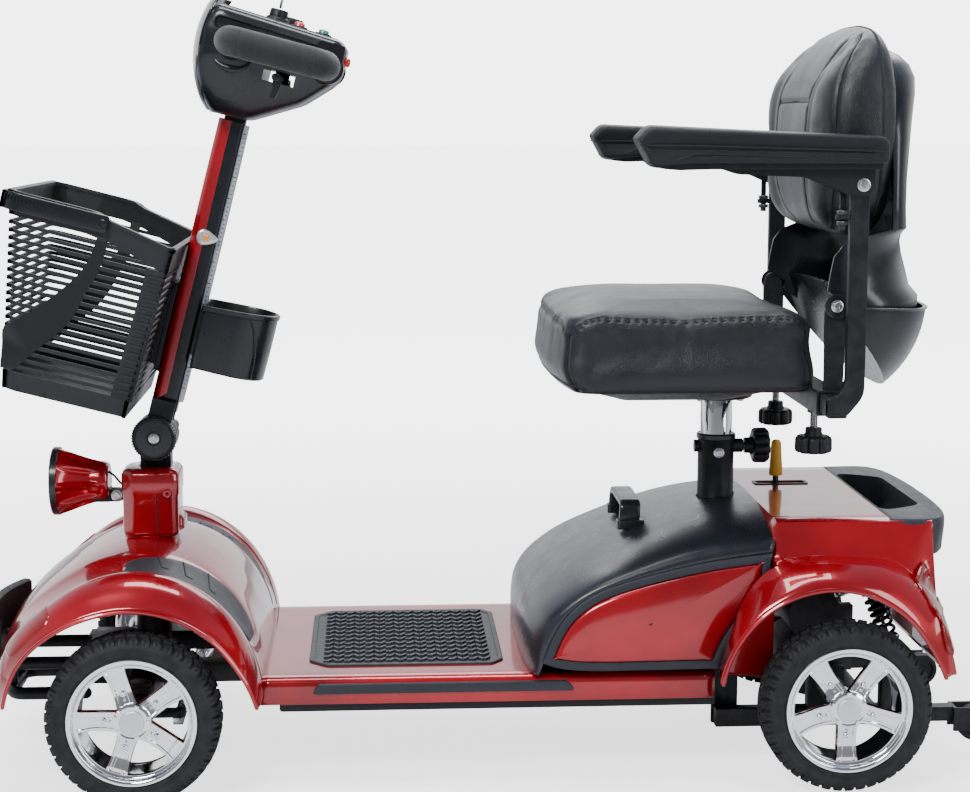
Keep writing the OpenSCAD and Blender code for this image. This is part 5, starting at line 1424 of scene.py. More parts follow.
for side_, mir, body in (("left", False, "left_rest"), ("right", True, "right_rest")):
    f = (lambda s: s.mirrored()) if mir else (lambda s: s)
    o = obj(side_ + "_armrest_pad", f(arm_pad), 60)
    put(o, body, ARMPAD, side_ + "_armrest")
    put(obj(side_ + "_armrest_welts", f(total(lines_))), body, ARMPAD, slot=SLOT_OF["left_armrest"])
    o = obj(side_ + "_armrest_bar",
            f(prism(core, ay - 21, ay + 21) + prism(cheek, ay - 10.6, ay - 6.6) + prism(cheek, ay + 6.6,
                ay + 10.6)
                                      + brick((AX + 14, ay - 7, AH + 7), (AX + 50, ay + 7, AH + 21.5))), 30)
    bevel(o, 1.0, 2)
    put(o, body, BLACK, slot=SLOT_OF["left_armrest"])
    put(obj(side_ + "_armrest_bolt",
            f(bolt((AX, ay + 10.6, AH), (0, 1, 0), 5.2, 3, 0) + bolt((AX, ay - 10.6, AH), (0, -1, 0), 5.2,
                3, 6))),
        body, STEEL, slot="bright_steel")
# ---------------------------------------------------------------- tiller stem
def on_stem(shape):
    return shape.mapped(tiller)


SLOT_STEM = SLOT_OF["stem_cover"]
STEM_LEN, LOW = 405, 52
STEM_TOP = (box("stem_cover")[1][2] - FOLD[2]) / CS
STEM_LEN = min(STEM_LEN, STEM_TOP)
front_ = rounded([(-2, -18), (9, -18), (14.6, -11), (14.6, 11), (9, 18), (-2, 18)], [1, 7, 7, 7, 7, 1], 6)
channel_ = rounded([(-17, -16.6), (1, -16.6), (1, 16.6), (-17, 16.6)], [4, 1, 1, 4], 5)


def stem_part(outline, v0, v1, slant=0.0, n=14):
    rows = []
    for k, v in enumerate(np.linspace(v0, v1, n)):
        t = k / (n - 1)
        rows.append([(u * (1 + 0.04 * math.sin(math.pi * t)), y * (1 - 0.05 * math.sin(math.pi * t)),
                      v + slant * u * (1 - t)) for u, y in outline])
    return grid(rows, wrap_v=True, cap=True)


o = obj("stem_front_cover", on_stem(stem_part(front_, LOW + 4, STEM_LEN, -0.9)), 40)
put(bevel(o, 0.8), "tiller", RED, "stem_cover")
o = obj("stem_side_channel", on_stem(stem_part(channel_, LOW, STEM_LEN)), 40)
put(bevel(o, 0.8), "tiller", SATIN, slot=SLOT_STEM)
strip_ = rounded([(-23.4, -12), (-16, -12), (-16, 12), (-23.4, 12)], [3, 0.5, 0.5, 3], 4)
o = obj("stem_height_strip", on_stem(stem_part(strip_, LOW - 2, STEM_LEN - 2)), 40)
put(bevel(o, 0.6), "tiller", STRIP, slot=SLOT_STEM)
ticks_ = []
for i in range(62):
    v = LOW + 16 + i * 5.4
    if v > STEM_LEN - 12:
        break
    long = 4.2 if i % 5 == 0 else 2.4
    for s in (1, -1):
        ticks_.append(slab((-22.6, s * 12.0 - 0.25, v), (-22.6 + long, s * 12.0 + 0.25, v + 0.9), 0.3,
                           "xz"))
put(obj("height_marks", on_stem(total(ticks_)), 0), "tiller", BLACK, slot=SLOT_STEM)
drop = [(15, 0), (13.5, 7), (8, 11.5), (0, 11), (-9, 7.5), (-16, 3.5), (-19, 0), (-16, -3.5), (-9, -7.5),
        (0, -11), (8, -11.5), (13.5, -7)]
drop = spline([(u * 0.8 - 5, v * 0.85 + 258) for u, v in drop], 60, closed=True)
square = rounded([(-9, 254), (-1, 254), (-1, 262), (-9, 262)], 1.8)
levels = [(16.4, 0), (19.4, 0.2), (20.6, 1.6), (20.9, 3.4), (20.9, 8)]
low_, high_ = total([stack(drop, levels, "xz", (-4, 258))]), stack(square,
    [(20.0, 0), (21.7, 0.2), (22.2, 1.2), (22.2, 3)], "xz")
put(obj("stem_reflectors", on_stem(low_.both()), 40), "tiller", SILVER, slot=SLOT_STEM)
put(obj("stem_reflector_ambers", on_stem(high_.both()), 40), "tiller", AMBER, slot=SLOT_STEM)
# near disc of the fold joint with its bolt
disc = lathe([(4, 0), (27.4, 0), (27.8, 1.2), (27.2, 4.6), (25.5, 5.6), (24.5, 4.4), (23.5, 4.4),
              (22.6, 5.4), (9, 5.8), (8, 4.6), (4, 4.6)],
             (FOLD[0], 22.2, FOLD[2]), (0, 1, 0), 64)
notch = total(tube([(FOLD[0] + 27.4 * math.cos(a), 22.6, FOLD[2] + 27.4 * math.sin(a)),
                    (FOLD[0] + 27.4 * math.cos(a), 26.2, FOLD[2] + 27.4 * math.sin(a))], 1.1, 6)
              for a in np.linspace(0, 2 * math.pi, 48, endpoint=False))
put(obj("fold_disc", disc + notch), "tiller", SATIN, slot=SLOT_OF["stem_tube"])
put(obj("fold_bolt", bolt((FOLD[0], 26.6, FOLD[2]), (0, 1, 0), 4.4, 3, 6)), "tiller", STEEL,
    slot="bright_steel")
knob((FOLD[0], -34, FOLD[2]), (0, -1, 0), 11.5, "fold_clamp_knob", "fold_clamp", "fold_knob", 10, 25, 21.5)

# ---------------------------------------------------------------- basket
B0, B1 = 38.0, 268.0


def wall_at(v):
    t = (v - B0) / (B1 - B0)
    return 30 - 13.8 * t, 178 + 38 * t, 142 + 18 * t


def hoop(v, inset=0.0, n=176):
    b, f, w = wall_at(v)
    b, f, w = b + inset, f - inset, w - inset
    c = rounded([(b, -w), (f, -w), (f, w), (b, w)],
                [max(12 - inset, 2), max(24 - inset, 3), max(24 - inset, 3), max(12 - inset, 2)], 7)
    return spline(np.vstack([c, c[:1]]), n + 1)[:-1]


def band(low, high, out=0.0, thick=3.2, n=176):
    """A closed ring of wall between two heights; each height may follow u."""
    rows = []
    for edge, inset in ((low, -out), (high, -out), (high, thick - out), (low, thick - out)):
        ref = hoop(200.0, 0, n)
        h = [edge(u) if callable(edge) else edge for u, _ in ref]
        base, top = hoop(B0, inset, n), hoop(B1, inset, n)
        t = ((np.array(h) - B0) / (B1 - B0))[:, None]
        p = base * (1 - t) + top * t
        rows.append(np.column_stack([p, h]))
    g = np.array(rows).transpose(1, 0, 2)
    return grid(g, wrap_u=True, wrap_v=True)


rim = lambda u: float(np.interp(u, [15, 30, 92, 106, 120], [246, 249, 261.5, 267.5, 268]))
under = lambda u: float(np.interp(u, [15, 30, 88, 104, 116, 150], [216, 219, 236, 238, 240, 240]))
parts_ = [band(B0, 60, 0.4, 4.0), band(under, rim, 0.4, 3.6),
          band(lambda u: rim(u) - 4.5, lambda u: rim(u) + 0.2, 2.2, 7.0)]
for i in range(19):
    v = 64.5 + i * 9.15
    if v + 4.4 < 238:
        parts_.append(band(v, v + 4.4, 0, 3.0))
parts_.append(grid([[(u, y, B0 + 0.5) for u, y in hoop(B0, 6)], [(u, y, B0 + 4) for u, y in hoop(B0, 3)]],
                   wrap_v=True, cap=True))


def on_side(outline, out0=-3.6, out1=0.9):
    """A flat patch on the basket's left side, drawn in u and v."""
    s = prism(outline, out0, out1)
    s.v[:, 1] += 142 + 18 * (s.v[:, 2] - B0) / (B1 - B0)
    return s


brace = spline([(94, 241), (95, 215), (98, 199), (106, 175), (112, 150), (119, 132), (129, 115), (144, 97),
                (159, 76), (170, 62)], 34)
brace2 = spline([(184, 62), (187, 88), (190, 110), (177, 121), (160, 138), (135, 168), (117, 195),
                 (109, 220), (107, 241)], 34)
parts_.append(on_side(np.vstack([brace, brace2])).both())
rear_band = np.array([(26.5, 58), (52, 58), (47, 150), (44, 218), (20, 218)])
parts_.append(on_side(rear_band, -3.6, 0.6).both())
ribs_ = []
for i in range(16):
    v = 66 + i * 9.4
    ribs_.append(on_side([(29 - (v - 60) * 0.05, v), (46 - (v - 60) * 0.04, v),
                        (46 - (v - 60) * 0.04, v + 3.6), (29 - (v - 60) * 0.05, v + 3.6)], 0.4, 1.8))
parts_.append(total(ribs_).both())
# solid middle of the back wall, where the bracket holds it
for u in (30.4, 33.6):
    parts_.append(grid([[(u - (v - B0) * 0.06, y, v) for y in (-46, 46)] for v in (58, 218)]))
o = obj("slatted_basket", on_stem(total(parts_)), 40)
bevel(o, 0.7, 2)
put(o, "basket_body", BLACK, "basket")

path = rounded([(103, 163.8), (221.5, 163.8), (221.5, -163.8), (103, -163.8)], [0.1, 27, 27, 0.1], 12)
path = spline(path, 120)
tang, _, _ = frames(np.column_stack([path, np.zeros(len(path))]))
rows = []
section = rounded([(-2.4, -10.5), (2.4, -10.5), (2.4, 10.5), (-2.4, 10.5)], [1.6, 1.6, 1.6, 1.6], 3)
for i, (u, y) in enumerate(path):
    d = min(i, len(path) - 1 - i) * np.linalg.norm(path[1] - path[0])
    k = math.sqrt(max(1 - (1 - min(d / 10.5, 1)) ** 2, 0.02))
    out_ = np.cross(tang[i], [0, 0, 1])
    if out_ @ np.array([u - 140, y, 0]) < 0:
        out_ = -out_
    rows.append([(u + out_[0] * a, y + out_[1] * a, 256 + b * k) for a, b in section])
bail = grid(rows, wrap_v=True, cap=True)
nibs = []
for i in range(9):
    u = 186 + i * 4.2
    y = 166.6 if u < 196 else 166.6 - (u - 196) ** 2 / 62
    nibs.append(tube([(u, y, 257), (u, y, 263)], 0.8, 6))
pins_ = lathe([(0, -4), (5.2, -4), (5.2, 3.6), (4.4, 4.4), (0, 4.4)], (104, 163.4, 256), (0, 1, 0), 24)
put(bevel(obj("basket_carry_bail", on_stem(bail + total(nibs).both() + pins_.both()), 40), 0.5, 2), "bail",
    SATIN, "basket_bail")

plate = slab((14.3, -30, 84), (20.4, 30, 196), 8, "yz")
sides_ = total([slab((19, s * 27 - 2.2, 92), (27.5, s * 27 + 2.2, 186), 3, "xz") for s in (1, -1)])
hooks = total([slab((19, y - 6, 178), (29.6, y + 6, 190), 2, "xz") for y in (-20, 20)])
cross = total([brick((19, -26, v), (26, 26, v + 3)) for v in (104, 128, 152)])
put(bevel(obj("basket_holder_plate", on_stem(plate + sides_ + hooks + cross), 30), 1.2), "tiller", BLACK,
    "basket_bracket")
put(obj("basket_holder_bolts",
        on_stem(total(bolt((20.4, y, v), (1, 0, 0), 3.4, 2, 6) for y in (-12, 12) for v in (94, 168)))),
        "tiller", STEEL,
    slot="bright_steel")

# ---------------------------------------------------------------- cup holder
arc_ = [(-67 - 47 * math.sin(a), -47 * math.cos(a)) for a in np.linspace(0, math.pi, 40)]
cup_line = [(-23, -44), (-27, -47.4), (-46, -47.6)] + arc_ + [(-46, 47.6), (-27, 47.4), (-23, 44)]
cup_line = spline(cup_line + [cup_line[0]], 121)[:-1]
c_ = np.array((-66, 0))
rows = []
for v, inset in [(100, 6), (100, 3), (102, 0.6), (130, 0), (160, -0.2), (175, 0), (176, -1.6), (181, -1.8),
        (182, -0.6), (182, 1.8), (180, 2.8),
                 (140, 2.9), (106, 3.4), (104.5, 6), (104.5, 20), (104.5, 40)]:
    k = 1 - inset / 47
    rows.append([(c_[0] + (u - c_[0]) * k, y * k, v + (0 if v < 160 else 0.06 * (-u - 70)))
                 for u, y in cup_line])
cup = grid(rows, wrap_v=True, cap=True)
crease = total(tube(spline([(-82, s * 46.6, 176), (-92, s * 43.6, 160), (-98, s * 38.6, 130),
                    (-99, s * 37.2, 103)], 30), 0.7, 6) for s in (1, -1))
arms_ = slab((-25, -13, 112), (-17, 13, 170), 2, "xz")
put(bevel(obj("drink_holder", on_stem(cup + crease + arms_), 40), 0.5, 2), "tiller", SATIN, "cup_holder")

# ---------------------------------------------------------------- tiller head
H0 = 410.0
side_line = rounded([(26, H0 - 1), (42, H0 + 16), (55, H0 + 56), (56, H0 + 100), (46, H0 + 127),
                    (-110, H0 + 120), (-119, H0 + 112), (-119, H0 + 72),
                     (-82, H0 + 34), (-24, H0)], [10, 30, 60, 30, 16, 8, 6, 34, 60, 26], 9)
mid_ = (-28, H0 + 72)
head = stack(side_line, [(-85, 40), (-85, 22), (-83.6, 11), (-79.5, 4.6), (-72, 1.2), (-55, 0), (0, -0.6),
                    (55, 0), (72, 1.2), (79.5, 4.6),
                         (83.6, 11), (85, 22), (85, 40)], "xz", mid_)


def waist(v):
    """The lower half of the head narrows towards the stem."""
    t = np.clip((H0 + 78 - v[:, 2]) / 78, 0, 1)
    v = v.copy()
    v[:, 1] *= 1 - 0.34 * t ** 1.6
    return v


shell_ = obj("tiller_head_cover", on_stem(head.mapped(waist)), 50)
bay = rounded([(-90, H0 + 107), (40, H0 + 113), (40, H0 + 98), (8, H0 + 91), (-90, H0 + 100)],
              [8, 10, 8, 20, 6], 6)
cut(shell_, on_stem(total([stack(bay, [(81.5, 1.5), (95, -4)], "xz"),
                    stack(bay, [(-95, -4), (-81.5, 1.5)], "xz")])))
slot_v = H0 + 61
cut(shell_, on_stem(brick((-67, -99, slot_v - 9), (-29, 99, slot_v + 5))))
bevel(shell_, 0.9, 2, 40)
put(shell_, "tiller", SATIN, "head_shell")
# lip round the top panel, and the panel itself
panel = rounded([(40, -70), (40, 70), (-106, 70), (-106, -70)], [16, 16, 12, 12], 7)
lift_ = lambda s: s.mapped(lambda v: np.column_stack([v[:, 0], v[:, 1],
    v[:, 2] + H0 + 125.4 + (v[:, 0] - 44) * 0.0449]))
top_ = stack(panel, [(-2, 0), (1.2, 0), (2.2, 1.2), (2.2, 3.4), (0.9, 4.4), (0.9, 60)], "xy")
put(obj("control_panel", on_stem(lift_(top_)), 40), "tiller", GREY, slot=SLOT_OF["head_shell"])
gauge = stack(rounded([(30, -26), (30, 26), (10, 26), (10, -26)], 4),
              [(0, 0), (2.2, 0), (2.9, 0.8), (2.9, 2.4), (2.2, 3.2), (2.2, 9)], "xy")
leds = total(stack(rounded([(23, y - 3), (23, y + 3), (17, y + 3), (17, y - 3)], 1),
                   [(2.0, 0), (2.8, 0.4), (2.9, 1)], "xy") for y in (-16, -8, 0, 8, 16))
put(obj("charge_gauge", on_stem(lift_(gauge)), 40), "tiller", SATIN, slot=SLOT_OF["head_shell"])
put(obj("charge_lamps", on_stem(lift_(leds)), 40), "tiller", GREEN, slot=SLOT_OF["head_shell"])
# glossy front shell that stands a little above the panel
fp = spline([(27, H0 + 1), (39, H0 + 14), (51, H0 + 38), (58, H0 + 66), (59, H0 + 96), (54, H0 + 122),
             (47, H0 + 138)], 40)
rows = []
for u, v in fp:
    t = max((H0 + 78 - v) / 78, 0)
    w = 80 * (1 - 0.34 * t ** 1.6) * (1 - 0.14 * max((v - H0 - 112) / 26, 0) ** 2)
    rows.append([(u + 2.6 - 11 * abs(k) ** 3.2, w * k, v) for k in np.linspace(-1, 1, 41)])
nose_ = obj("head_front_shell", on_stem(grid(rows)), 60)
thicken(nose_, 3.2, 0)
bevel(nose_, 1.1, 3, 50)
put(nose_, "tiller", GLOSS, slot=SLOT_OF["head_shell"])
# collars where the loop bars enter, the crescent under the front one, and the rear step
cols = []
for u in (14, -100):
    cols.append(lathe([(12, -6), (21, -6), (20.4, 1), (17.5, 4.5), (14.4, 6), (13.6, 9), (10.6, 9)],
                      (u, 82, H0 + 85), (0, 1, 0), 48))
cres = [tube(spline([(-12, 83.4, H0 + 70), (-6, 84, H0 + 60), (8, 83.4, H0 + 54.5), (24, 82, H0 + 57),
                    (36, 79, H0 + 66)], 30), np.concatenate(
    [np.linspace(1.2, 4.4, 15), np.linspace(4.4, 1.2, 15)]), 10, flat=0.7)]
step_ = [slab((-117, 60, H0 + 93), (-84, 86, H0 + 114), 4, "xz")]
trim_ = bevel(obj("head_collars", on_stem((total(cols) + total(cres) + total(step_)).both()), 40), 1.2)
put(trim_, "tiller", SATIN, slot=SLOT_OF["head_shell"])
put(obj("reset_button_rear",
        on_stem(lathe([(7.5, -2), (7.5, 2), (6.4, 3), (5.4, 3), (5.2, 6.4), (4.2, 7.6), (0, 8)],
                      (-118, 50, H0 + 97), (-1, 0, 0), 32)), 40),
    "tiller", SCARLET, slot=SLOT_OF["horn_button"])

# loop bars and foam grips
BV, BY = H0 + 85, 160.0
loop = rounded([(14, 84), (14, BY), (-100, BY), (-100, 84)], [0.1, 24, 24, 0.1], 12)
loop = spline(loop, 90)
bars = tube([(u, y, BV) for u, y in loop], 9.6, 20, ends="flat")
put(obj("handle_loop_bars", on_stem(bars.both()), 60), "tiller", POWDER, "handlebar")
keep = [i for i, (u, y) in enumerate(loop) if y > 118]
foam_path = np.array([(loop[i][0], loop[i][1], BV) for i in range(keep[0], keep[-1] + 1)])
n = len(foam_path)
r_ = np.array([17.4 - 0.25 * math.sin(i * 2.1) ** 2 for i in range(n)])
r_[0] = r_[-1] = 14.6
foam = tube(foam_path, r_, 28, ends="flat")
put(bevel(obj("foam_grips", on_stem(foam.both()), 50), 2.0, 3, 50), "tiller", FOAM, "grips")

# throttle lever with a curved paddle on each side
LV = BV - 27
axle_ = tube([(-48, y, LV) for y in np.linspace(-150, 150, 60)], 4.6, 14, flat=1.0)
blade = []
for k, v in enumerate(np.linspace(LV + 3, LV - 25, 16)):
    t = k / 15
    w, d = 5.6 - 2.2 * t, 3.6 - 1.4 * t
    u0 = -48 - 4 * math.sin(t * 2.4) + 2 * t
    ring_ = rounded([(u0 - w, -d), (u0 + w, -d), (u0 + w, d), (u0 - w, d)], min(d, w) * 0.8, 4)
    blade.append([(u, 130 + y * 3.4 - 2 * t, v) for u, y in ring_])
paddle = grid(blade, wrap_v=True, cap=True)
hub_ = lathe([(0, -10), (8.4, -10), (9, -9), (9, 8), (8, 9), (0, 9)], (-48, 0, LV), (0, 0, 1), 32)
put(bevel(obj("throttle_paddles", on_stem(axle_ + paddle.both() + hub_), 50), 0.8, 2), "throttle", BLACK,
    "throttle_lever")

# key, dial and buttons
PANEL = [(-28, 30), (-46, -12), (-56, 42), (-86, 42)]
TOP = lambda u: H0 + 127.4 + (u - 44) * 0.0449
ku, ky = PANEL[0]
barrel = lathe([(5.4, -4), (14, -4), (14, 3), (13, 4.4), (11.4, 5), (11, 13), (10, 14.4), (7.4, 14.6),
                (6, 13.6), (5.4, 13.6)], (ku, ky, TOP(ku)), (0, 0, 1), 40)
put(obj("key_switch", on_stem(barrel), 40), "tiller", BLACK, slot=SLOT_OF["head_shell"])
ring_ = rounded([(-7, 22), (7, 22), (9.4, 30), (7, 38.5), (-7, 38.5), (-9.4, 30)], 4)
key_ = prism([(y, z) for y, z in ring_], -1.3, 1.3, "yz").moved((0, 0, 0))
blade_ = slab((-1.0, -3.4, -8), (1.0, 3.4, 24), 0.8,
              "xz") + lathe([(0, -14), (4.9, -14), (4.9, 12.6), (4.2, 13.4), (0, 13.4)], (0, 0, 0),
                            (0, 0, 1), 24)
key_ = (key_ + blade_).moved((ku, ky, TOP(ku)))
key_obj = obj("ignition_key_blade", on_stem(key_.moved((0, 0, -6))), 35)
cut(key_obj, on_stem(lathe([(0, -5), (2.7, -5), (2.7, 5), (0, 5)], (ku, ky, TOP(ku) + 28), (1, 0, 0), 24)))
put(bevel(key_obj, 0.4, 2), "key", STEEL, "ignition_key")
du, dy = PANEL[1]
flutes = []
for a in np.linspace(0, 2 * math.pi, 96, endpoint=False):
    k = 12.2 - 0.55 * (math.cos(a * 24) > 0)
    flutes.append((du + k * math.cos(a), dy + k * math.sin(a)))
dial = stack(flutes, [(TOP(du) + h, i) for h, i in [(0.4, 3), (0.4, 0.4), (1.4, -0.6), (3.4, 0), (9, 0.6),
    (10.4, 2), (10.8, 4), (10.8, 9)]], "xy", (du, dy))
pointer = slab((du + 1, dy - 0.9, TOP(du) + 10), (du + 10.4, dy + 0.9, TOP(du) + 11.5), 0.6, "xy")
stem_ = lathe([(0, -12), (4.8, -12), (4.8, 1), (0, 1)], (du, dy, TOP(du)), (0, 0, 1), 20)
put(obj("speed_dial_knob", on_stem(dial + stem_), 40), "dial", BLACK, "speed_dial")
put(obj("speed_dial_pointer", on_stem(pointer), 30), "dial", STRIP, slot=SLOT_OF["speed_dial"])
marks = total(tube([(du + 15.2 * math.cos(a), dy + 15.2 * math.sin(a), TOP(du) + 0.1),
                    (du + 17.6 * math.cos(a), dy + 17.6 * math.sin(a), TOP(du) + 0.1)], 0.4, 6)
              for a in np.radians(np.linspace(-130, 130, 11)))
put(obj("speed_dial_marks", on_stem(marks)), "tiller", STRIP, slot=SLOT_OF["head_shell"])
bezels = []
for (u, y), node, body, mat_ in ((PANEL[2], "horn_button", "horn", SCARLET),
        (PANEL[3], "light_button", "light", GREEN)):
    bezels.append(lathe([(7.2, -3), (10.2, -3), (10.2, 1.2), (9.4, 2.2), (7.9, 2.4), (7.2, 1.6)],
                        (u, y, TOP(u)), (0, 0, 1), 32))
    cap_ = lathe([(0, -9), (6.4, -9), (6.4, 4.6), (5.8, 5.8), (4, 6.7), (0, 7.1)], (u, y, TOP(u)),
                 (0, 0, 1), 32)
    put(obj(node + "_cap", on_stem(cap_), 40), body, mat_, node)
for u, y in ((-56, -44), (-86, -44)):
    bezels.append(slab((u - 9, y - 6, TOP(u) - 2), (u + 9, y + 6, TOP(u) + 1.6), 2, "xy"))
put(obj("switch_bezels", on_stem(total(bezels)), 40), "tiller", BLACK, slot=SLOT_OF["head_shell"])
# ---------------------------------------------------------------- front bumper
lo, hi = box("front_bumper")
reach_x = hi[0] - 36
tubes = []
for z in (AZ - 20.5, AZ + 18.5):
    line = rounded([(FX + 86, 51), (reach_x, 51), (reach_x, -51), (FX + 86, -51)], [0.1, 20, 20, 0.1], 8)
    tubes.append(tube([(x, y, z) for x, y in spline(line, 60)], 8, 20, ends="flat"))
for s in (1, -1):
    tubes.append(slab((reach_x - 5, s * 26 - 6, AZ - 21), (reach_x + 6, s * 26 + 6, AZ + 56), 2, "xy"))
    tubes.append(slab((FX + 85.2, s * 62 - 23, lo[2] + 0.5), (FX + 91, s * 62 + 23, AZ + 26), 5, "yz"))
put(bevel(obj("bumper_tubes", total(tubes), 40), 0.8, 2), "chassis", POWDER, "front_bumper")
put(obj("bumper_bolts", total(bolt((FX + 91, s * 78, AZ + z), (1, 0, 0), 4, 2.4, 6) for s in (1, -1)
    for z in (-20, 16))), "chassis", STEEL,
    slot="bright_steel")
mid_z = hi[2] - 38
sec = [(-15, mid_z - 34), (-15, mid_z + 34), (-12, mid_z + 37), (-7, mid_z + 37.6)]
for z in np.linspace(35.5, -35.5, 48):
    groove = 1.7 * max(0.0, 1 - min(abs(z - g) for g in (-18, 0, 18)) / 2.2)
    sec.append((-5.5 * (z / 36) ** 2 - groove, mid_z + z))
sec += [(-7, mid_z - 37.6), (-12, mid_z - 37)]
rows = []
for t in np.linspace(-1, 1, 57):
    y = 111 * t
    k = math.sqrt(max(1 - max(0, (abs(t) - 0.93) / 0.07) ** 2, 0.03))
    rows.append([(hi[0] - 1 - 25 * abs(t) ** 2.4 + dx * k - 7 * (1 - k), y,
                  mid_z + (z - mid_z) * (0.75 + 0.25 * k)) for dx, z in sec])
put(obj("bumper_pad", grid(rows, wrap_v=True, cap=True), 40), "chassis", RUBBER,
    slot=SLOT_OF["front_bumper"])

# ---------------------------------------------------------------- tail lenses, laid on the rear body
for side_, s in (("left", 1), ("right", -1)):
    mid = spline([(RX - 99, s * 204, 270), (RX - 115, s * 222, 226), (RX - 122, s * 233, 192),
                  (RX - 123, s * 237, 166)], 22)
    rows = []
    for i, p in enumerate(mid):
        w = 14.5 * (1 - abs(2 * i / 21 - 1) ** 5) ** 0.5 + 0.4
        rows.append(onto(tail, [p + np.array((0.5, s * 0.86, 0)) * w * k for k in np.linspace(-1, 1, 15)],
                         1.4))
    o = obj(side_ + "_tail_lens", grid(rows), 60)
    thicken(o, 2.6, 0.6)
    bevel(o, 0.8, 2, 50)
    if s > 0:
        put(o, "chassis", LENS, "corner_lenses")
    else:
        put(o, "chassis", LENS, slot="lens")

# ---------------------------------------------------------------- suspension springs
lo, hi = box("coil_springs")
sy = hi[1] - 13
coil, damper, rods = [], [], []
for s in (1, -1):
    a, b = np.array((RX - 81, s * sy, 153.0)), np.array((RX - 52, s * sy, 221.0))
    d = (b - a) / np.linalg.norm(b - a)
    u = np.cross(d, [0, 1, 0])
    u /= np.linalg.norm(u)
    w = np.cross(d, u)
    turns = 7
    p = []
    for t in np.linspace(0, 1, 24 * turns):
        ang = t * turns * 2 * math.pi
        h = 0.03 + 0.94 * (t + 0.03 * math.sin(2 * math.pi * t))
        p.append(a + (b - a) * h + 10.4 * (math.cos(ang) * u + math.sin(ang) * w))
    coil.append(tube(p, 2.3, 10))
    damper.append(lathe([(5.6, 0), (12.6, 0), (12.8, 1.6), (12.4, 3), (6.8, 3.6), (6.7, 40), (6.3, 41),
                        (5.6, 41)], b, -d, 32, closed=True))
    rods.append(lathe([(0, 0), (12.6, 0), (12.8, 1.6), (12.4, 3), (4.4, 3.6), (2.6, 4.4), (2.6, 40),
                       (0, 40)], a, d, 32))
o = obj("coil_springs_wound", total(coil), 60)
o.data.materials.append(DARKSTEEL)
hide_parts("coil_springs")
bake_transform(o)
put(obj("damper_bodies", total(damper), 40), "chassis", POWDER, slot=SLOT_OF["coil_springs"])
put(obj("damper_rods", total(rods), 40), "rear_axle", STEEL, slot="bright_steel")

# ---------------------------------------------------------------- freewheel lever
lx, ly, lz = joint_at("freewheel_turn")
rod = tube([(lx, ly, z) for z in np.linspace(lz, BOX_TOP + 16, 12)], 4, 16, ends="flat") \
    + lathe([(3.1, -5), (8, -5), (9, -4), (9, 4), (8, 5), (3.1, 5)], (lx, ly, lz), (0, 1, 0), 36,
            closed=True)
put(obj("freewheel_rod", rod, 40), "freewheel", DARKSTEEL, "freewheel_lever")
grip_ = []
for z, rx, ry in [(10, 5, 5), (10.5, 8.4, 7), (13, 9, 7.4), (24, 8.6, 6.8), (36, 7.6, 6), (46, 7.2, 5.6),
        (54, 6.6, 5), (57.4, 4.6, 3.6), (58, 1, 1)]:
    grip_.append([(lx + rx * math.cos(a), ly + ry * math.sin(a), BOX_TOP + z)
                  for a in np.linspace(0, 2 * math.pi, 32, endpoint=False)])
put(obj("freewheel_grip", grid(grip_, wrap_v=True, cap=True), 50), "freewheel", YELLOW,
    slot=SLOT_OF["freewheel_lever"])
gate = slab((lx - 42, ly - 12, BOX_TOP - 1), (lx + 30, ly + 12, BOX_TOP + 1.4), 6)
gate_ = obj("freewheel_gate", gate, 30)
cut(gate_, slab((lx - 38, ly - 8, BOX_TOP - 6), (lx + 26, ly + 8, BOX_TOP + 6), 6))
put(bevel(gate_, 0.6, 2), "chassis", BLACK, slot="black_plastic")

# ---------------------------------------------------------------- anti-tip wheels
ax_, _, az_ = joint_at("anti_tip_spin")
wy_ = box("anti_tip_wheels")[1][1] - 10
profile = [(4.1, -10), (8, -10), (8.6, -9.2), (8.6, -8), (14.5, -7.4), (15.4, -9.4), (18.6, -9.8),
           (21, -8.4), (22, -5.6), (22, 5.6), (21, 8.4),
           (18.6, 9.8), (15.4, 9.4), (14.5, 7.4), (8.6, 8), (8.6, 9.2), (8, 10), (4.1, 10)]
wheels_ = total(lathe(profile, (ax_, s * wy_, az_), (0, 1, 0), 56, closed=True) for s in (1, -1))
put(obj("anti_tip_rollers", wheels_, 40), "anti_tip", RUBBER, "anti_tip_wheels")
put(obj("anti_tip_bolts",
        total(bolt((ax_, s * (wy_ + 10.4), az_), (0, s, 0), 4.4, 2.4, 6) for s in (1, -1))), "rear_axle",
        STEEL, slot="bright_steel")

# ---------------------------------------------------------------- motor and small hardware
fins = total(lathe([(30, y), (34.3, y), (34.6, y + 0.6), (34.6, y + 2.2), (34.3, y + 2.8), (30, y + 2.8)],
                   (RX - 4, 0, AZ + 62), (0, 1, 0), 64)
             for y in np.arange(-96, -50, 6))
put(obj("motor_fins", fins, 40), "rear_axle", CAST, slot=SLOT_OF["drive_unit"])
face_ = total(bolt((RX + 30 * math.cos(a), s * 45.2, AZ + 30 * math.sin(a)), (0, s, 0), 3, 2, 6)
              for s in (1, -1) for a in np.radians([20, 80, 200, 260, 320]))
put(obj("gearbox_bolts", face_), "rear_axle", STEEL, slot="bright_steel")
sock = box("post_knob")[0][2] + 25
put(obj("socket_bolts", bolt((PX, 23.2, sock - 6), (0, 1, 0), 4.6, 3, 6) + bolt((PX, -23.2, sock - 6),
    (0, -1, 0), 4.6, 3, 6)), "chassis", STEEL,
    slot="bright_steel")
collar_ = lathe([(20.6, -5), (23.4, -5), (25, -3.6), (25, 1.4), (23.4, 3), (20.6, 3)],
                (PX, 0, box("post_knob")[0][2] + 25 + 14), (0, 0, 1), 56, closed=True)
put(obj("socket_collar", collar_, 40), "chassis", SATIN, slot="black_plastic")
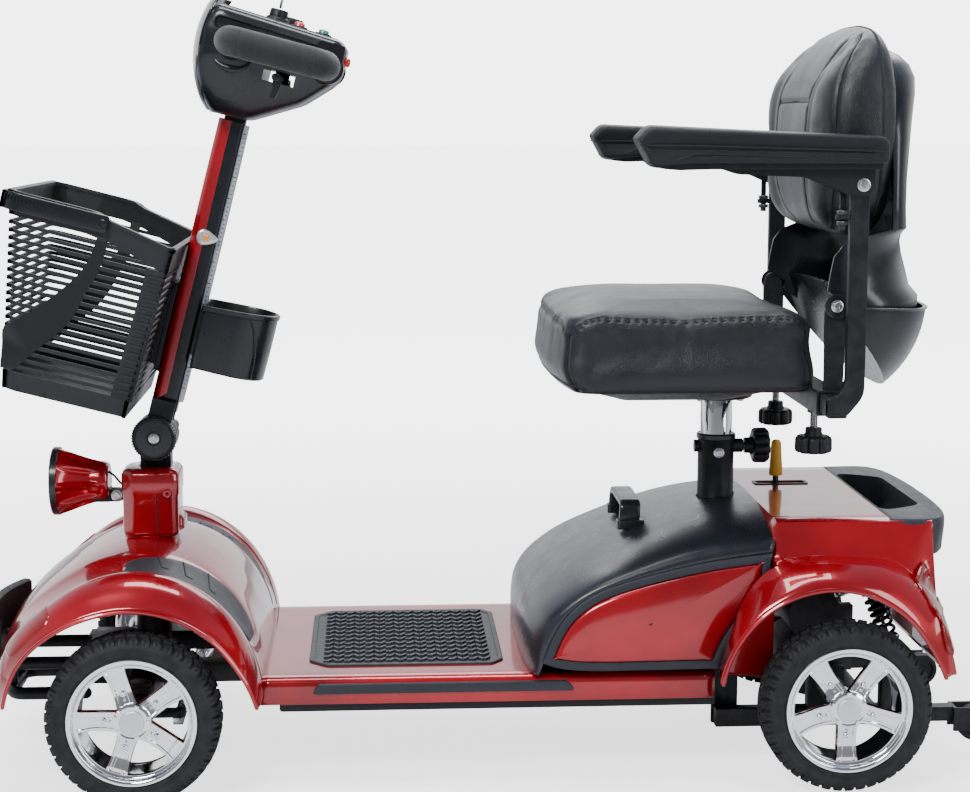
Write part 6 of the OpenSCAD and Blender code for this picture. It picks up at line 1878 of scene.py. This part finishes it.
put(obj("swivel_plate_bolts",
        total(bolt((PX + 36 * math.cos(a), 36 * math.sin(a), box("seat_post")[1][2] + 0.2), (0, 0, -1), 3.6,
                   2, 6)
                                    for a in np.radians([45, 135, 225, 315]))), "seat", STEEL,
                                    slot="bright_steel")


# ---------------------------------------------------------------- floor, lights and camera
FLOOR_HALF = 60000        # mm, far enough for the floor's edge to meet the horizon
FLOOR_THICK = 10          # mm
FLOOR_GLOW = (2.0, 4.2)   # under the object, and where the floor meets the backdrop
GLOW_REACH = (0.5, 3.5)   # m from the middle
BACKDROP = 5.0            # brightness of what stands behind the object
WALLS = (1.5, 0.3)        # brightness of the room behind the object, and in front of it
ZENITH = (0.36, 0.42, 0.54, 1)
WHITE = (1.0, 1.0, 1.0, 1)
LENS_MM, SENSOR_MM = 71.0, 36.0
EYE = ((FX - 284.2) / 1000, 2.3935, 0.7908)
YAW, PITCH = math.radians(3.3), math.radians(8.2)


def light(name, at, to, size, watts, color=(1, 1, 1)):
    """A rectangular lamp at one place, turned to another."""
    d = bpy.data.lights.new(name, "AREA")
    d.shape = "RECTANGLE"
    d.size, d.size_y = size
    d.energy = watts
    d.color = color
    o = bpy.data.objects.new(name, d)
    bpy.context.scene.collection.objects.link(o)
    o.location = at
    o.rotation_euler = (Vector(to) - Vector(at)).to_track_quat("-Z", "Y").to_euler()
    return o


def ramp(tree, value, lo, hi, smooth=True):
    """A node that maps lo of a value to hi's range, each a pair."""
    k = tree.nodes.new("ShaderNodeMapRange")
    if smooth:
        k.interpolation_type = "SMOOTHSTEP"
    k.inputs["From Min"].default_value, k.inputs["From Max"].default_value = lo
    k.inputs["To Min"].default_value, k.inputs["To Max"].default_value = hi
    tree.links.new(value, k.inputs["Value"])
    return k.outputs["Result"]


low = box("front_left_tyre")[0][2]
a, b = -FLOOR_HALF, FLOOR_HALF
floor = obj("floor", prism([(a, a), (b, a), (b, b), (a, b)], low - FLOOR_THICK, low, "xy"), 0)
ground = material("floor", (0.7, 0.7, 0.71), 0.85, grain=(60, 0.02), vary=(0.8, 0.015), rough_vary=0.05)
# the floor grows paler with distance, until it meets the backdrop; this lights nothing
tree = ground.node_tree
shader = tree.nodes["Principled BSDF"]
shader.inputs["Emission Color"].default_value = WHITE
away = tree.nodes.new("ShaderNodeVectorMath")
away.operation = "LENGTH"
tree.links.new(tree.nodes.new("ShaderNodeTexCoord").outputs["Object"], away.inputs[0])
seen = tree.nodes.new("ShaderNodeMath")
seen.operation = "MULTIPLY"
tree.links.new(ramp(tree, away.outputs["Value"], GLOW_REACH, FLOOR_GLOW), seen.inputs[0])
tree.links.new(tree.nodes.new("ShaderNodeLightPath").outputs["Is Camera Ray"], seen.inputs[1])
tree.links.new(seen.outputs["Value"], shader.inputs["Emission Strength"])
floor.data.materials.append(ground)

light("key", (1.6, 2.6, 3.0), (0, 0, 0.4), (1.6, 0.8), 150)
light("fill", (-2.6, 2.2, 1.6), (0, 0, 0.4), (0.7, 2.2), 40, (0.96, 0.98, 1))
light("rim", (-0.6, -2.8, 2.6), (0, 0, 0.5), (3.0, 1.4), 60)
light("top", (0, 0.2, 3.6), (0, 0, 0.4), (2.2, 0.9), 100)

# a room with a bright wall behind the object, a dim one in front and a blue-grey ceiling
world = bpy.data.worlds.new("studio")
bpy.context.scene.world = world
world.use_nodes = True
tree = world.node_tree
room_light = tree.nodes["Background"]
axes = tree.nodes.new("ShaderNodeSeparateXYZ")
tree.links.new(tree.nodes.new("ShaderNodeTexCoord").outputs["Generated"], axes.inputs["Vector"])
sky = tree.nodes.new("ShaderNodeMix")
sky.data_type = "RGBA"
sky.inputs["A"].default_value = WHITE
sky.inputs["B"].default_value = ZENITH
tree.links.new(ramp(tree, axes.outputs["Z"], (0.0, 0.8), (0.0, 1.0), smooth=False), sky.inputs["Factor"])
tree.links.new(sky.outputs["Result"], room_light.inputs["Color"])
tree.links.new(ramp(tree, axes.outputs["Y"], (-1.0, 1.0), WALLS), room_light.inputs["Strength"])
# what stands behind the object in every view is a plain pale backdrop
backdrop = tree.nodes.new("ShaderNodeBackground")
backdrop.inputs["Color"].default_value = WHITE
backdrop.inputs["Strength"].default_value = BACKDROP
both = tree.nodes.new("ShaderNodeMixShader")
tree.links.new(tree.nodes.new("ShaderNodeLightPath").outputs["Is Camera Ray"], both.inputs[0])
tree.links.new(room_light.outputs[0], both.inputs[1])
tree.links.new(backdrop.outputs[0], both.inputs[2])
tree.links.new(both.outputs[0], tree.nodes["World Output"].inputs["Surface"])

cam = bpy.data.cameras.new("camera")
cam.lens = LENS_MM
cam.sensor_width = SENSOR_MM
cam.sensor_fit = "HORIZONTAL"
eye = bpy.data.objects.new("camera", cam)
bpy.context.scene.collection.objects.link(eye)
eye.location = EYE
look = Vector((-math.sin(YAW) * math.cos(PITCH), -math.cos(YAW) * math.cos(PITCH), -math.sin(PITCH)))
eye.rotation_euler = look.to_track_quat("-Z", "Y").to_euler()
bpy.context.scene.camera = eye
